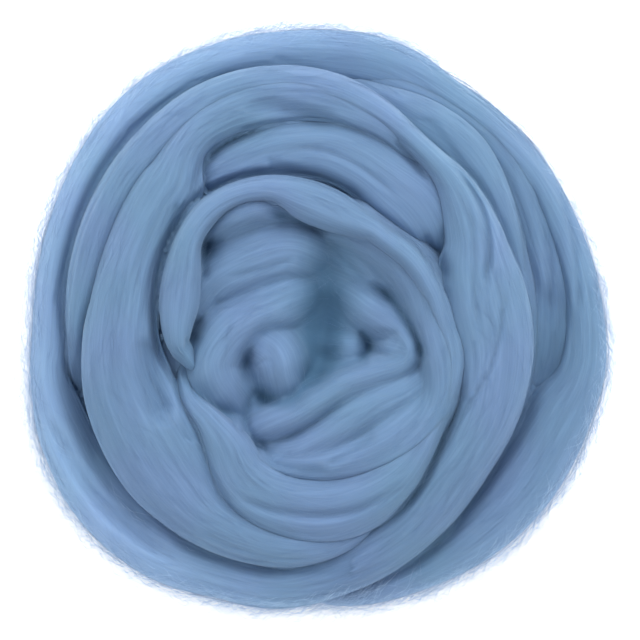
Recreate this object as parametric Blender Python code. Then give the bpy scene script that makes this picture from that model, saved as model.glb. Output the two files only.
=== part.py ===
"""A nest of wool roving: one long, soft strand of combed wool, wound clockwise into a round nest.

The nest lies flat on its widest coils. Its outer turns lie low, the next turns climb over them, and the
inner turns stand highest round a hollow that the last folds of the strand half fill.
Every stretch of the strand is a rounded tube along a smooth route, and all of them are one body of wool.

Frame: metres, +Z up, the origin under the nest's middle on the face that it rests on. A bearing is
counted clockwise from +Y, seen from above, in degrees.
"""

import math

import bmesh
import bpy
import numpy as np

# Driving sizes, in millimetres. The tables below are in millimetres too.
NEST_WIDTH = 180.0
DRAWN_WIDTH = 180.0  # the width at which the tables are written
SECTION_POWER = 2.3  # 2 is an ellipse, more is a fuller section
SECTION_SIDES = 24
ROUTE_STEP = 3.0  # from one section to the next along a strand
STEPS_PER_ROW = 12  # points read from the smooth curve between two rows
END_LENGTH = 9.0  # over which a strand's end rounds off
END_SIZE = 0.14  # what is left of the section at the very end
FOLD_PRESS = 0.8  # how far a fold in the middle presses into its neighbours
TUCK = 4.5  # how far a strand's edge reaches under a higher strand beside it
TUCK_GAP = 3.0  # from one edge to the other at which it no longer reaches under
TUCK_RISE = 8.0  # from as much lower to as much higher than its neighbour, the tuck fades in over this
TUCK_BLEND = 15  # points over which the tuck is evened out
FOOT_CUT = 1.2  # how much of the lowest coils is pressed flat
SKIN_CELL = 1.9  # cell of the skin that joins the strands
SKIN_SOFTENING = 2
SKIN_TRIANGLES = 9800

WOOL_COLOUR = (0.225, 0.37, 0.58, 1.0)
WOOL_ROUGHNESS = 0.92

# Round turns. Columns: bearing, inner edge, outer edge, crest height.
# The long turn: it comes up at the left, runs over the top and down the right, and ends as the rim.
RISING_TURN = (
    (252, 74.0, 78.6, 32),
    (265, 73.5, 78.9, 45),
    (278, 70.5, 79.0, 51),
    (292, 69.8, 79.2, 53),
    (306, 71.0, 79.8, 54),
    (320, 72.5, 80.4, 55),
    (335, 74.8, 80.4, 55),
    (350, 74.0, 78.4, 56),
    (362, 71.8, 75.4, 58),
    (374, 67.0, 70.8, 60),
    (386, 60.5, 65.6, 62),
    (396, 54.6, 63.3, 63),
    (406, 49.4, 63.5, 63),
    (418, 44.0, 62.8, 63),
    (432, 40.4, 63.3, 63),
    (448, 39.8, 64.8, 62),
    (462, 44.2, 67.0, 61),
    (478, 50.2, 69.3, 60),
    (492, 54.4, 71.3, 58),
    (504, 57.0, 75.6, 55),
    (518, 64.6, 81.0, 50),
    (532, 71.0, 85.6, 46),
)
RIM_TURN = (
    (548, 78.6, 89.4, 44),
    (562, 79.4, 92.2, 45),
    (576, 80.4, 95.4, 46),
    (590, 80.2, 96.0, 46),
    (604, 79.4, 94.4, 43),
    (618, 79.2, 90.4, 42),
    (630, 79.4, 87.8, 42),
    (655, 79.2, 87.8, 42),
    (680, 80.4, 89.4, 42),
    (700, 79.6, 88.4, 42),
    (718, 76.8, 87.0, 42),
    (735, 76.0, 85.4, 42),
    (752, 76.0, 82.6, 42),
    (768, 76.6, 82.8, 42),
    (786, 76.0, 83.2, 42),
    (804, 74.6, 85.0, 43),
    (820, 74.8, 87.4, 44),
    (832, 71.8, 88.6, 44),
    (848, 72.4, 90.0, 44),
    (862, 76.2, 90.4, 43),
    (878, 81.6, 89.6, 39),
    (890, 85.0, 89.4, 34),
    (900, 86.4, 88.4, 24),
)
# The sunken lock inside the rim at the upper right, which dives under it at the right.
SUNKEN_LOCK = (
    (0, 73.5, 78.0, 36),
    (18, 73.0, 78.4, 42),
    (36, 73.0, 78.2, 43),
    (50, 72.4, 78.6, 43),
    (62, 69.6, 77.8, 43),
    (76, 67.4, 76.0, 42),
    (90, 66.4, 74.8, 37),
    (102, 67.8, 74.4, 29),
    (112, 70.0, 75.4, 20),
)
# The slim lock between that one and the long turn.
SLIM_LOCK = (
    (6, 69.0, 74.6, 42),
    (16, 67.6, 74.6, 48),
    (28, 64.5, 75.4, 51),
    (42, 62.5, 75.0, 51),
    (54, 62.3, 72.0, 50),
    (66, 62.5, 69.4, 48),
    (78, 63.3, 67.2, 44),
    (90, 63.5, 66.4, 35),
)
# The broad turn on the left, which comes up at the bottom and sinks at the upper right.
BROAD_TURN = (
    (150, 56.0, 62.0, 36),
    (160, 59.5, 66.0, 43),
    (168, 63.5, 70.4, 47),
    (176, 66.8, 75.4, 50),
    (186, 68.0, 78.0, 52),
    (198, 66.0, 79.4, 54),
    (210, 61.2, 80.4, 56),
    (222, 54.8, 80.4, 58),
    (236, 49.0, 78.6, 59),
    (250, 49.4, 76.6, 59),
    (262, 50.8, 73.6, 60),
    (276, 51.7, 70.6, 60),
    (292, 52.2, 69.8, 60),
    (308, 52.4, 71.0, 60),
    (318, 54.8, 72.0, 59),
    (328, 59.6, 74.8, 58),
    (342, 60.8, 76.6, 57),
    (356, 60.2, 74.4, 58),
    (370, 58.6, 70.0, 58),
    (382, 57.4, 64.6, 56),
    (391, 55.4, 61.0, 49),
    (397, 53.6, 59.0, 40),
)
# The second arch at the top, between the broad turn and the inner ring.
SECOND_ARCH = (
    (314, 51.0, 56.0, 42),
    (321, 50.6, 57.4, 51),
    (330, 48.8, 58.6, 55),
    (345, 46.0, 59.4, 57),
    (360, 43.4, 59.2, 58),
    (374, 40.2, 57.8, 60),
    (388, 37.4, 54.8, 60),
    (400, 36.2, 52.0, 59),
    (412, 36.4, 49.0, 57),
    (424, 37.2, 45.6, 52),
    (434, 37.4, 43.0, 45),
    (444, 37.8, 42.4, 36),
)
# The inner ring: it starts at the left, runs over the top and the right, and goes under at the left.
INNER_RING = (
    (250, 43.2, 47.8, 50),
    (256, 42.2, 48.8, 59),
    (264, 39.2, 49.4, 63),
    (276, 36.9, 49.9, 65),
    (288, 38.0, 50.4, 66),
    (300, 41.8, 51.0, 67),
    (312, 42.5, 51.4, 67),
    (324, 41.4, 49.6, 67),
    (338, 37.4, 46.6, 67),
    (352, 29.8, 43.6, 67),
    (366, 26.2, 40.4, 67),
    (382, 26.0, 37.0, 67),
    (400, 28.6, 35.6, 67),
    (420, 30.4, 37.2, 68),
    (438, 31.2, 39.0, 67),
    (454, 32.8, 41.2, 65),
    (466, 35.6, 45.6, 64),
    (480, 40.0, 49.6, 63),
    (496, 44.4, 53.8, 62),
    (512, 46.2, 61.4, 60),
    (526, 46.6, 67.2, 58),
    (540, 47.6, 70.0, 57),
    (556, 47.2, 68.2, 58),
    (570, 44.0, 61.6, 60),
    (582, 43.2, 53.8, 60),
    (596, 42.0, 49.4, 56),
    (606, 41.2, 47.0, 50),
    (614, 40.6, 45.0, 42),
)
# A turn under the ones that show, seen only between them and from the side.
CARRYING_TURN = (
    (-20, 54.0, 70.0, 36),
    (10, 50.0, 70.0, 44),
    (50, 48.0, 69.0, 48),
    (90, 46.0, 68.0, 48),
    (130, 52.0, 72.0, 46),
    (170, 58.0, 78.0, 40),
    (210, 58.0, 79.0, 44),
    (250, 56.0, 77.0, 46),
    (290, 56.0, 76.0, 46),
    (330, 58.0, 78.0, 44),
    (370, 56.0, 74.0, 42),
    (395, 56.0, 72.0, 34),
)

# Folds in the middle. Columns: right, up, crest height, width. The loop fold comes out of the hollow at the
# right, turns back on itself and runs down to the left; the shelf lies between the ring and the upper fold.
UPPER_FOLD = (
    (-39, 5, 48, 9),
    (-34, 10.5, 55, 15),
    (-28, 14, 58, 19),
    (-20, 17, 59, 18.5),
    (-13, 19.3, 58.5, 17.5),
    (-7, 20.3, 57, 15),
    (-1, 19, 53, 12),
    (5, 15, 48, 9),
)
LOWER_FOLD = (
    (0, 9, 49, 8),
    (-5, 7, 55, 13),
    (-13, 3, 58.5, 15.5),
    (-21, 0, 59.5, 15),
    (-28, -5, 59.5, 15),
    (-33, -13, 59.5, 15.5),
    (-33, -21, 58.5, 15.5),
    (-30, -28, 56, 13),
    (-26.5, -34, 52, 10),
)
KNOB_FOLD = (
    (-20, -7.5, 51, 10),
    (-16.5, -9.5, 57, 15),
    (-13, -12.5, 59.5, 18),
    (-11.8, -17, 58, 14.5),
    (-10.8, -21, 54, 9),
    (-10.3, -24, 49, 5),
)
SMALL_FOLD = (
    (-1, -6, 46, 7),
    (4, -7, 50.5, 10),
    (9, -8, 51.5, 9.5),
    (12.5, -8.8, 49, 7),
)
LOOP_FOLD = (
    (4, 8, 47, 8),
    (9, 5, 53, 11),
    (14, 2, 57, 12.5),
    (19.5, -0.5, 59, 12),
    (24.5, -4, 59.5, 9),
    (27.6, -8.5, 59.5, 6.8),
    (27.4, -12.5, 59, 6.8),
    (23.5, -15.4, 59, 9),
    (16, -17.6, 59.5, 10.5),
    (8, -20.2, 60, 11.5),
    (0, -24.4, 60, 12.5),
    (-7, -28.8, 59, 12),
    (-14, -32, 57.5, 10.5),
    (-19, -34.4, 54, 8),
    (-21.5, -37, 48, 5),
)
DIM_FOLD = (
    (1, 22, 46, 8),
    (7, 19.5, 50.5, 11),
    (14, 16.5, 53, 14),
    (20.5, 12, 54, 13),
    (26, 5.5, 56, 9),
    (30, -1, 58, 8),
    (33, -9, 59, 7.5),
    (34.6, -17, 59, 7),
    (34, -25, 57, 7),
)
LOOP_INSIDE = (
    (16.5, -8.4, 50, 6),
    (20, -9, 53.5, 7),
    (24, -10, 54, 6),
)
MIDDLE_LOCK = (
    (33, -18, 54, 8),
    (26, -23, 58, 11),
    (17, -27.2, 59.3, 12),
    (9, -31.8, 59.3, 12),
    (1, -37, 58, 11),
    (-7, -40.6, 55.5, 9.5),
    (-14, -41.4, 51, 8),
    (-19, -40.4, 45, 5),
)
LOWER_LOCK = (
    (34.5, -26, 58, 10),
    (28, -32.6, 60, 12.5),
    (20.5, -38, 60, 12),
    (12.5, -42.2, 59, 10),
    (4, -45.2, 57.5, 8.5),
    (-5, -46.4, 54, 6.5),
)
RING_SIDE = (
    (2, 27.5, 52, 7),
    (10, 25.5, 58, 9),
    (18, 21.5, 61.5, 11),
    (24, 15, 62.5, 11),
    (28, 7.5, 62.5, 10.5),
    (30, 0, 62.5, 10),
    (32.6, -8, 62.5, 9.5),
    (35, -16, 62, 9),
    (35.5, -24, 61, 9),
    (32.5, -31.5, 59.5, 9),
)
SHELF_FOLD = (
    (-35, 27, 46, 6),
    (-29, 29.4, 54, 9),
    (-22, 31.2, 56, 9),
    (-16.5, 33, 51, 7),
)

# Columns: rows, thickness.
ROUND_STRANDS = (
    (RISING_TURN + RIM_TURN, 22.0),
    (SUNKEN_LOCK, 18.0),
    (SLIM_LOCK, 18.0),
    (BROAD_TURN, 22.0),
    (SECOND_ARCH, 20.0),
    (INNER_RING, 20.0),
)
CARRYING_THICKNESS = 28.0
FOLDED_STRANDS = (
    (UPPER_FOLD, 18.0),
    (LOWER_FOLD, 18.0),
    (KNOB_FOLD, 18.0),
    (SMALL_FOLD, 15.0),
    (LOOP_FOLD, 17.0),
    (LOOP_INSIDE, 14.0),
    (DIM_FOLD, 16.0),
    (RING_SIDE, 16.0),
    (MIDDLE_LOCK, 17.0),
    (LOWER_LOCK, 17.0),
    (SHELF_FOLD, 16.0),
)
LEAST_HALF_WIDTH = 4.0  # a narrower stretch keeps this and tucks in under its inner neighbour

# The coil that the nest rests on: a full turn under the rim, then a flat spiral in to the middle.
COIL_START = 120.0  # bearing
COIL_RADIUS = 75.2
COIL_TUCK = 5.0  # how far inside the rim its hidden end starts
COIL_TUCK_TURN = 40.0  # degrees
COIL_LEVEL_TURN = 310.0  # degrees run before it starts to close in
COIL_TURN_STEP = 6.0  # degrees
COIL_PITCH = 17.0
COIL_LAST_RADIUS = 8.0
COIL_HALF_WIDTH = 9.8
COIL_THICKNESS = 25.0

# The packed heart that fills the nest under its turns. Columns: radius, top height, underside height.
HEART_PROFILE = (
    (13, 45, -2),
    (17, 46, 4),
    (32, 48, 4),
    (46, 47, 4),
    (60, 38, 4),
    (70, 28, 6),
    (76, 18, 9),
)
HEART_SIDES = 48


def smooth_rows(rows):
    """Rows read from one smooth curve that passes through all the rows."""
    rows = np.array(rows, float)
    before = np.vstack([2 * rows[0] - rows[1], rows, 2 * rows[-1] - rows[-2]])
    found = []
    for i in range(1, len(before) - 2):
        a, b, c, d = before[i - 1 : i + 3]
        for t in np.arange(STEPS_PER_ROW) / STEPS_PER_ROW:
            found.append(
                0.5 * (2 * b + (c - a) * t + (2 * a - 5 * b + 4 * c - d) * t**2)
                + 0.5 * (3 * b - a - 3 * c + d) * t**3
            )
    return np.array(found + [rows[-1]])


def eased(value):
    """The value from 0 to 1 with a soft start and end."""
    value = np.clip(value, 0, 1)
    return value * value * (3 - 2 * value)


def tuck_under(own, side):
    """How far one edge of a strand, inner (1) or outer (2), reaches under the higher strands beside it."""
    bearing, edge, crest = own[0], own[side], own[3]
    tuck = np.zeros(len(bearing))
    for rows, _ in ROUND_STRANDS:
        other = smooth_rows(rows).T
        same_strand = len(other[0]) == len(bearing) and np.allclose(other[0], bearing)
        for turns in range(-2, 3):
            if turns == 0 and same_strand:
                continue
            there = bearing + 360 * turns
            beside = (there >= other[0][0]) & (there <= other[0][-1])
            inner, outer, height = (np.interp(there, other[0], values) for values in other[1:])
            gap, room = (edge - outer, edge - inner) if side == 1 else (inner - edge, outer - edge)
            reach = eased(1 - gap / TUCK_GAP) * np.clip(room / TUCK, 0, 1)
            above = eased((height - crest) / TUCK_RISE + 0.5)
            tuck = np.maximum(tuck, np.where(beside, TUCK * reach * above, 0))
    spread = np.hanning(TUCK_BLEND) / np.hanning(TUCK_BLEND).sum()
    return np.convolve(np.pad(tuck, TUCK_BLEND // 2, "edge"), spread, "valid")


def round_route(rows, thickness):
    """Centre, half width and half thickness at each section of a strand that runs round the nest."""
    bearing, inner, outer, crest = own = smooth_rows(rows).T
    inner, outer = inner - tuck_under(own, 1), outer + tuck_under(own, 2)
    half_width = np.maximum((outer - inner) / 2, LEAST_HALF_WIDTH)
    radius = outer - half_width
    turn = np.radians(bearing)
    centre = np.stack([radius * np.sin(turn), radius * np.cos(turn), crest - thickness / 2], axis=1)
    return centre, half_width, np.full(len(centre), thickness / 2)


def folded_route(rows, thickness):
    """The same for a fold in the middle, whose table gives its centre line."""
    right, up, crest, width = smooth_rows(rows).T
    centre = np.stack([right, up, crest - thickness / 2], axis=1)
    return centre, width / 2 + FOLD_PRESS, np.full(len(centre), thickness / 2)


def coil_route():
    """The lowest coil, from the rim in to the middle."""
    closing = (COIL_RADIUS - COIL_LAST_RADIUS) / COIL_PITCH * 360
    run = np.arange(0, COIL_LEVEL_TURN + closing, COIL_TURN_STEP)
    radius = COIL_RADIUS - COIL_PITCH * np.clip(run - COIL_LEVEL_TURN, 0, None) / 360
    radius -= COIL_TUCK * np.clip(1 - run / COIL_TUCK_TURN, 0, 1)
    turn = np.radians(COIL_START + run)
    height = np.full(len(run), COIL_THICKNESS / 2 - FOOT_CUT)
    centre = np.stack([radius * np.sin(turn), radius * np.cos(turn), height], axis=1)
    half_width = np.full(len(run), COIL_HALF_WIDTH)
    return centre, half_width, np.full(len(run), COIL_THICKNESS / 2)


def evenly_spaced(centre, half_width, half_thickness):
    """The same strand with its sections a fixed step apart."""
    along = np.concatenate([[0], np.cumsum(np.linalg.norm(np.diff(centre, axis=0), axis=1))])
    stops = np.linspace(0, along[-1], max(6, int(along[-1] / ROUTE_STEP)))
    centre = np.stack([np.interp(stops, along, centre[:, i]) for i in range(3)], axis=1)
    half_width = np.interp(stops, along, half_width)
    half_thickness = np.interp(stops, along, half_thickness)
    to_end = np.minimum(stops, along[-1] - stops)
    left_over = 1 - np.clip(to_end / END_LENGTH, 0, 1)
    rounding = np.sqrt(np.clip(1 - left_over**2, END_SIZE**2, 1))
    return centre, half_width * rounding, half_thickness * rounding


def add_strand(bm, centre, half_width, half_thickness):
    """A closed tube of rounded sections along the centre line, its width kept level."""
    centre, half_width, half_thickness = evenly_spaced(centre, half_width, half_thickness)
    ahead = np.gradient(centre, axis=0)
    ahead /= np.linalg.norm(ahead, axis=1)[:, None]
    side = np.cross(ahead, (0, 0, 1))
    side /= np.linalg.norm(side, axis=1)[:, None]
    above = np.cross(side, ahead)
    turn = np.arange(SECTION_SIDES) * 2 * math.pi / SECTION_SIDES
    power = 2 / SECTION_POWER
    across = np.sign(np.cos(turn)) * np.abs(np.cos(turn)) ** power
    up = np.sign(np.sin(turn)) * np.abs(np.sin(turn)) ** power
    scale = NEST_WIDTH / DRAWN_WIDTH / 1000
    rings = []
    for i in range(len(centre)):
        points = (
            centre[i]
            + np.outer(across * half_width[i], side[i])
            + np.outer(up * half_thickness[i], above[i])
        )
        rings.append([bm.verts.new(point * scale) for point in points])
    for ring, following in zip(rings, rings[1:]):
        for j in range(SECTION_SIDES):
            k = (j + 1) % SECTION_SIDES
            bm.faces.new((ring[j], following[j], following[k], ring[k]))
    bm.faces.new(rings[0])
    bm.faces.new(rings[-1][::-1])


def add_heart(bm):
    """The packed middle of the nest: a turned lump, closed on its axis."""
    scale = NEST_WIDTH / DRAWN_WIDTH / 1000
    profile = [(radius, top) for radius, top, _ in HEART_PROFILE]
    profile += [(radius, under) for radius, _, under in reversed(HEART_PROFILE)]
    rings = []
    for radius, height in profile:
        ring = []
        for i in range(HEART_SIDES):
            turn = 2 * math.pi * i / HEART_SIDES
            point = (radius * math.sin(turn) * scale, radius * math.cos(turn) * scale, height * scale)
            ring.append(bm.verts.new(point))
        rings.append(ring)
    for ring, following in zip(rings, rings[1:]):
        for i in range(HEART_SIDES):
            k = (i + 1) % HEART_SIDES
            bm.faces.new((ring[i], ring[k], following[k], following[i]))
    bm.faces.new(rings[0][::-1])
    bm.faces.new(rings[-1])


def strands_mesh():
    """Every strand and the heart, as closed shapes that run into each other."""
    bm = bmesh.new()
    for rows, thickness in ROUND_STRANDS:
        add_strand(bm, *round_route(rows, thickness))
    add_strand(bm, *round_route(CARRYING_TURN, CARRYING_THICKNESS))
    for rows, thickness in FOLDED_STRANDS:
        add_strand(bm, *folded_route(rows, thickness))
    add_strand(bm, *coil_route())
    add_heart(bm)
    bmesh.ops.recalc_face_normals(bm, faces=bm.faces)
    mesh = bpy.data.meshes.new("strands")
    bm.to_mesh(mesh)
    bm.free()
    return mesh


def joined_skin(mesh):
    """One skin round all the strands, softened where they meet and thinned to few faces."""
    helper = bpy.data.objects.new("strands", mesh)
    bpy.context.scene.collection.objects.link(helper)
    skin = helper.modifiers.new("skin", "REMESH")
    skin.mode = "VOXEL"
    skin.voxel_size = SKIN_CELL / 1000
    soften = helper.modifiers.new("soften", "SMOOTH")
    soften.factor = 0.5
    soften.iterations = SKIN_SOFTENING
    bpy.context.view_layer.update()
    graph = bpy.context.evaluated_depsgraph_get()
    fine = bpy.data.meshes.new_from_object(helper.evaluated_get(graph))
    triangles = sum(len(face.vertices) - 2 for face in fine.polygons)
    thin = helper.modifiers.new("thin", "DECIMATE")
    thin.ratio = SKIN_TRIANGLES / triangles
    bpy.context.view_layer.update()
    graph = bpy.context.evaluated_depsgraph_get()
    joined = bpy.data.meshes.new_from_object(helper.evaluated_get(graph))
    bpy.data.objects.remove(helper)
    bpy.data.meshes.remove(fine)
    return joined


def shells(bm):
    """The mesh's separate closed surfaces, each as a list of its vertices."""
    left = set(bm.verts)
    found = []
    while left:
        shell = []
        ahead = [left.pop()]
        while ahead:
            vert = ahead.pop()
            shell.append(vert)
            for edge in vert.link_edges:
                other = edge.other_vert(vert)
                if other in left:
                    left.discard(other)
                    ahead.append(other)
        found.append(shell)
    return found


def flatten_foot(mesh):
    """Keeps the outer skin alone, cuts it through level at the foot and presses what hangs lower up flat."""
    bm = bmesh.new()
    bm.from_mesh(mesh)
    everything = sorted(shells(bm), key=len)
    for shell in everything[:-1]:
        bmesh.ops.delete(bm, geom=shell, context="VERTS")
    geometry = bm.verts[:] + bm.edges[:] + bm.faces[:]
    bmesh.ops.bisect_plane(bm, geom=geometry, dist=1e-6, plane_co=(0, 0, 0), plane_no=(0, 0, -1))
    for vert in bm.verts:
        vert.co.z = max(vert.co.z, 0)
    bmesh.ops.triangulate(bm, faces=bm.faces)
    bmesh.ops.recalc_face_normals(bm, faces=bm.faces)
    bm.to_mesh(mesh)
    bm.free()


def wool_material():
    material = bpy.data.materials.new("combed wool")
    material.use_nodes = True
    shader = material.node_tree.nodes["Principled BSDF"]
    shader.inputs["Base Color"].default_value = WOOL_COLOUR
    shader.inputs["Roughness"].default_value = WOOL_ROUGHNESS
    shader.inputs["Metallic"].default_value = 0.0
    return material


def build():
    for obj in list(bpy.data.objects):
        bpy.data.objects.remove(obj)
    mesh = joined_skin(strands_mesh())
    flatten_foot(mesh)
    mesh.name = "roving_nest"
    mesh.materials.clear()
    mesh.materials.append(wool_material())
    mesh.shade_smooth()
    nest = bpy.data.objects.new("roving_nest", mesh)
    bpy.context.scene.collection.objects.link(nest)


build()
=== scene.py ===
"""A nest of wool roving: one soft strand of combed wool wound clockwise, with its locks and loose fibres."""

import math

import bpy
import numpy as np
from bpy.props import FloatProperty, FloatVectorProperty, IntProperty, PointerProperty
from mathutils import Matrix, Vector
from mathutils.kdtree import KDTree


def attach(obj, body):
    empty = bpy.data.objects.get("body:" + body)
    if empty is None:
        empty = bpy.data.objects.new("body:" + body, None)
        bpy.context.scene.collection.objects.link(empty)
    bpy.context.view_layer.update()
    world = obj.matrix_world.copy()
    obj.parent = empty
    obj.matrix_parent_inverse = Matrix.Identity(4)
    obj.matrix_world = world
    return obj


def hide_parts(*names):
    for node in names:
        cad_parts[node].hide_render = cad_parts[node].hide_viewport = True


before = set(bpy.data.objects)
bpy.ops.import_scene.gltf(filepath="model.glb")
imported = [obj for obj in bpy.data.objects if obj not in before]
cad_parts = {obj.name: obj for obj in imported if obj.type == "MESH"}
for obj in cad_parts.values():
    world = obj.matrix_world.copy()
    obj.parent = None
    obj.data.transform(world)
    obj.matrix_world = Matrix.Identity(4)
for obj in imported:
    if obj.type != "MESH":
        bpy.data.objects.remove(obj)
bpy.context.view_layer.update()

bl_info = {
    "name": "Wool roving nest",
    "version": (1, 0, 0),
    "blender": (4, 5, 0),
    "location": "3D View > Sidebar > Roving",
    "description": "Builds a wound nest of combed wool roving with its locks, grooves and loose fibres",
    "category": "Add Mesh",
}

NODE = "roving_nest"
BODY = "root"
MM = 0.001

# Round turns, in millimetres. Columns: bearing in degrees clockwise from +Y, inner edge, outer edge,
# crest height. The long turn comes up at the left, runs over the top and down the right, and ends as
# the rim.
RISING_TURN = (
    (252, 74.0, 78.6, 32),
    (265, 73.5, 78.9, 45),
    (278, 70.5, 79.0, 51),
    (292, 69.8, 79.2, 53),
    (306, 70.4, 79.8, 54),
    (320, 70.0, 80.4, 55),
    (335, 69.6, 80.4, 56),
    (350, 68.2, 78.4, 57),
    (362, 65.8, 75.4, 59),
    (374, 61.8, 70.8, 60.5),
    (386, 58.0, 65.6, 62),
    (396, 55.2, 63.3, 63),
    (404, 51.7, 63.5, 63),
    (412, 47.6, 63.2, 63),
    (421, 43.4, 62.8, 63),
    (429, 40.8, 63.0, 63.2),
    (438, 39.6, 63.6, 63.5),
    (448, 39.6, 64.8, 63.2),
    (462, 43.8, 67.0, 62),
    (478, 49.6, 69.0, 60.5),
    (492, 53.4, 70.6, 58),
    (504, 57.0, 74.0, 55),
    (518, 64.6, 79.4, 50),
    (532, 70.6, 84.6, 46),
)
RIM_TURN = (
    (548, 78.6, 90.6, 44),
    (562, 79.4, 93.0, 45),
    (576, 80.4, 96.6, 46),
    (590, 80.2, 97.2, 46),
    (604, 79.4, 95.3, 43),
    (618, 79.2, 91.2, 42),
    (630, 79.4, 88.5, 42),
    (655, 79.2, 88.8, 42),
    (680, 80.4, 91.2, 42),
    (700, 79.6, 89.9, 42),
    (718, 75.4, 88.6, 42),
    (735, 74.0, 87.9, 42),
    (752, 73.6, 83.6, 42),
    (768, 73.8, 83.6, 42),
    (786, 73.8, 84.4, 42),
    (804, 74.0, 86.6, 43),
    (820, 74.0, 89.6, 44),
    (832, 70.4, 90.4, 44),
    (848, 70.4, 91.5, 44),
    (862, 73.6, 91.5, 43),
    (878, 79.0, 90.5, 39),
    (890, 85.0, 90.2, 34),
    (900, 86.4, 89.2, 24),
)
SUNKEN_LOCK = (
    (0, 73.5, 78.0, 36),
    (18, 73.0, 78.4, 42),
    (36, 73.0, 78.2, 43),
    (50, 72.4, 78.6, 43),
    (62, 69.0, 77.8, 43),
    (76, 66.6, 76.4, 42),
    (90, 66.0, 76.4, 41),
    (100, 67.0, 75.4, 39.5),
    (108, 68.2, 73.4, 37),
    (116, 69.4, 72.2, 31),
    (124, 70.0, 71.8, 25),
)
SLIM_LOCK = (
    (6, 69.0, 74.6, 42),
    (16, 67.6, 74.6, 48),
    (28, 64.5, 75.4, 51),
    (42, 62.5, 75.0, 51),
    (54, 62.3, 71.6, 50),
    (66, 62.5, 68.4, 48),
    (78, 63.3, 66.4, 44),
    (90, 63.5, 66.4, 35),
)
BROAD_TURN = (
    (150, 56.0, 62.0, 36),
    (160, 59.5, 66.0, 43),
    (168, 63.5, 70.4, 47),
    (176, 66.8, 75.4, 50),
    (186, 68.0, 78.0, 52),
    (198, 66.0, 79.4, 54),
    (210, 62.0, 80.4, 56),
    (222, 53.8, 80.4, 58),
    (236, 47.6, 78.6, 59),
    (250, 47.6, 76.6, 59),
    (262, 50.8, 73.6, 60),
    (276, 51.7, 70.6, 60),
    (292, 52.2, 69.8, 60),
    (308, 52.4, 71.0, 60),
    (316, 54.2, 72.0, 59),
    (323, 58.8, 73.6, 58.5),
    (330, 60.4, 74.8, 58),
    (342, 60.2, 75.6, 58),
    (356, 59.8, 73.4, 59),
    (370, 58.4, 69.6, 60),
    (382, 57.4, 64.6, 60),
    (391, 55.8, 61.4, 56),
    (398, 54.0, 59.4, 47),
)
SECOND_ARCH = (
    (307, 50.6, 54.2, 38),
    (314, 50.8, 56.8, 46),
    (321, 50.4, 58.6, 52),
    (330, 48.8, 58.6, 55),
    (345, 46.0, 59.4, 57),
    (360, 43.4, 59.2, 58),
    (374, 40.2, 57.8, 60),
    (388, 37.4, 55.6, 60.5),
    (398, 36.2, 54.2, 60),
    (408, 36.4, 51.4, 58),
    (417, 36.8, 47.2, 54),
    (426, 37.4, 43.0, 47),
    (436, 37.8, 41.6, 38),
)
INNER_RING = (
    (247, 41.0, 43.4, 46),
    (252, 41.4, 44.6, 55),
    (258, 41.0, 47.0, 61),
    (265, 39.2, 48.8, 64),
    (276, 36.9, 49.9, 65),
    (288, 38.0, 50.4, 66),
    (300, 41.8, 51.0, 67),
    (312, 42.5, 51.4, 67),
    (324, 41.4, 49.6, 67),
    (338, 37.4, 46.6, 67),
    (352, 29.8, 43.0, 67),
    (366, 26.2, 39.4, 67),
    (382, 26.0, 36.2, 67),
    (400, 28.6, 35.2, 67),
    (420, 30.4, 37.2, 68),
    (438, 31.2, 39.0, 66.5),
    (454, 32.8, 41.2, 64),
    (466, 35.6, 45.6, 63),
    (480, 40.0, 49.0, 62.6),
    (493, 43.6, 51.8, 62),
    (504, 45.6, 56.6, 61),
    (514, 46.4, 62.0, 60),
    (526, 46.6, 67.2, 58),
    (540, 47.6, 70.0, 57),
    (556, 47.2, 68.2, 58),
    (566, 44.8, 64.8, 59),
    (576, 40.8, 57.4, 60),
    (586, 41.6, 50.8, 59),
    (596, 42.4, 47.8, 56),
    (606, 41.4, 45.6, 50),
    (614, 40.0, 44.0, 42),
)
CARRYING_TURN = (
    (-20, 54.0, 70.0, 36),
    (10, 50.0, 70.0, 44),
    (50, 48.0, 69.0, 48),
    (90, 46.0, 68.0, 48),
    (130, 52.0, 72.0, 46),
    (170, 58.0, 78.0, 40),
    (210, 58.0, 79.0, 44),
    (250, 56.0, 77.0, 46),
    (290, 56.0, 76.0, 46),
    (330, 58.0, 78.0, 44),
    (370, 56.0, 74.0, 42),
    (395, 56.0, 72.0, 34),
)

# Folds in the middle, in millimetres. Columns: right, up, crest height, width.
UPPER_FOLD = (
    (-39, 3.6, 54.5, 12),
    (-34, 10.5, 56.5, 15),
    (-28, 14.6, 58, 19.5),
    (-20, 18.2, 59, 20),
    (-13, 20.4, 58.5, 19),
    (-8, 20.6, 57.5, 17),
    (-4, 19.4, 54, 14),
    (0, 17.6, 48, 10),
)
LOWER_FOLD = (
    (-3, 7.4, 47, 8),
    (-7.4, 6, 55, 13),
    (-14, 3, 58.5, 15.5),
    (-21, 0, 59.5, 15),
    (-28, -5, 59.5, 17),
    (-33, -13, 59.5, 15.5),
    (-32, -20, 58, 15),
    (-29, -25, 54, 12),
    (-26, -29, 48, 9),
)
KNOB_FOLD = (
    (-17.5, -7.4, 51, 9),
    (-14.4, -9.6, 57, 14),
    (-12.2, -13, 59.5, 15.6),
    (-11.2, -17.4, 58, 13),
    (-10.2, -21.4, 54.5, 8.5),
    (-10, -24.6, 50, 4),
)
SMALL_FOLD = (
    (-1, -8, 46, 7),
    (3.5, -9, 50.5, 9.5),
    (8, -9.4, 51.5, 9.5),
    (11.5, -9.4, 49, 7),
)
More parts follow.
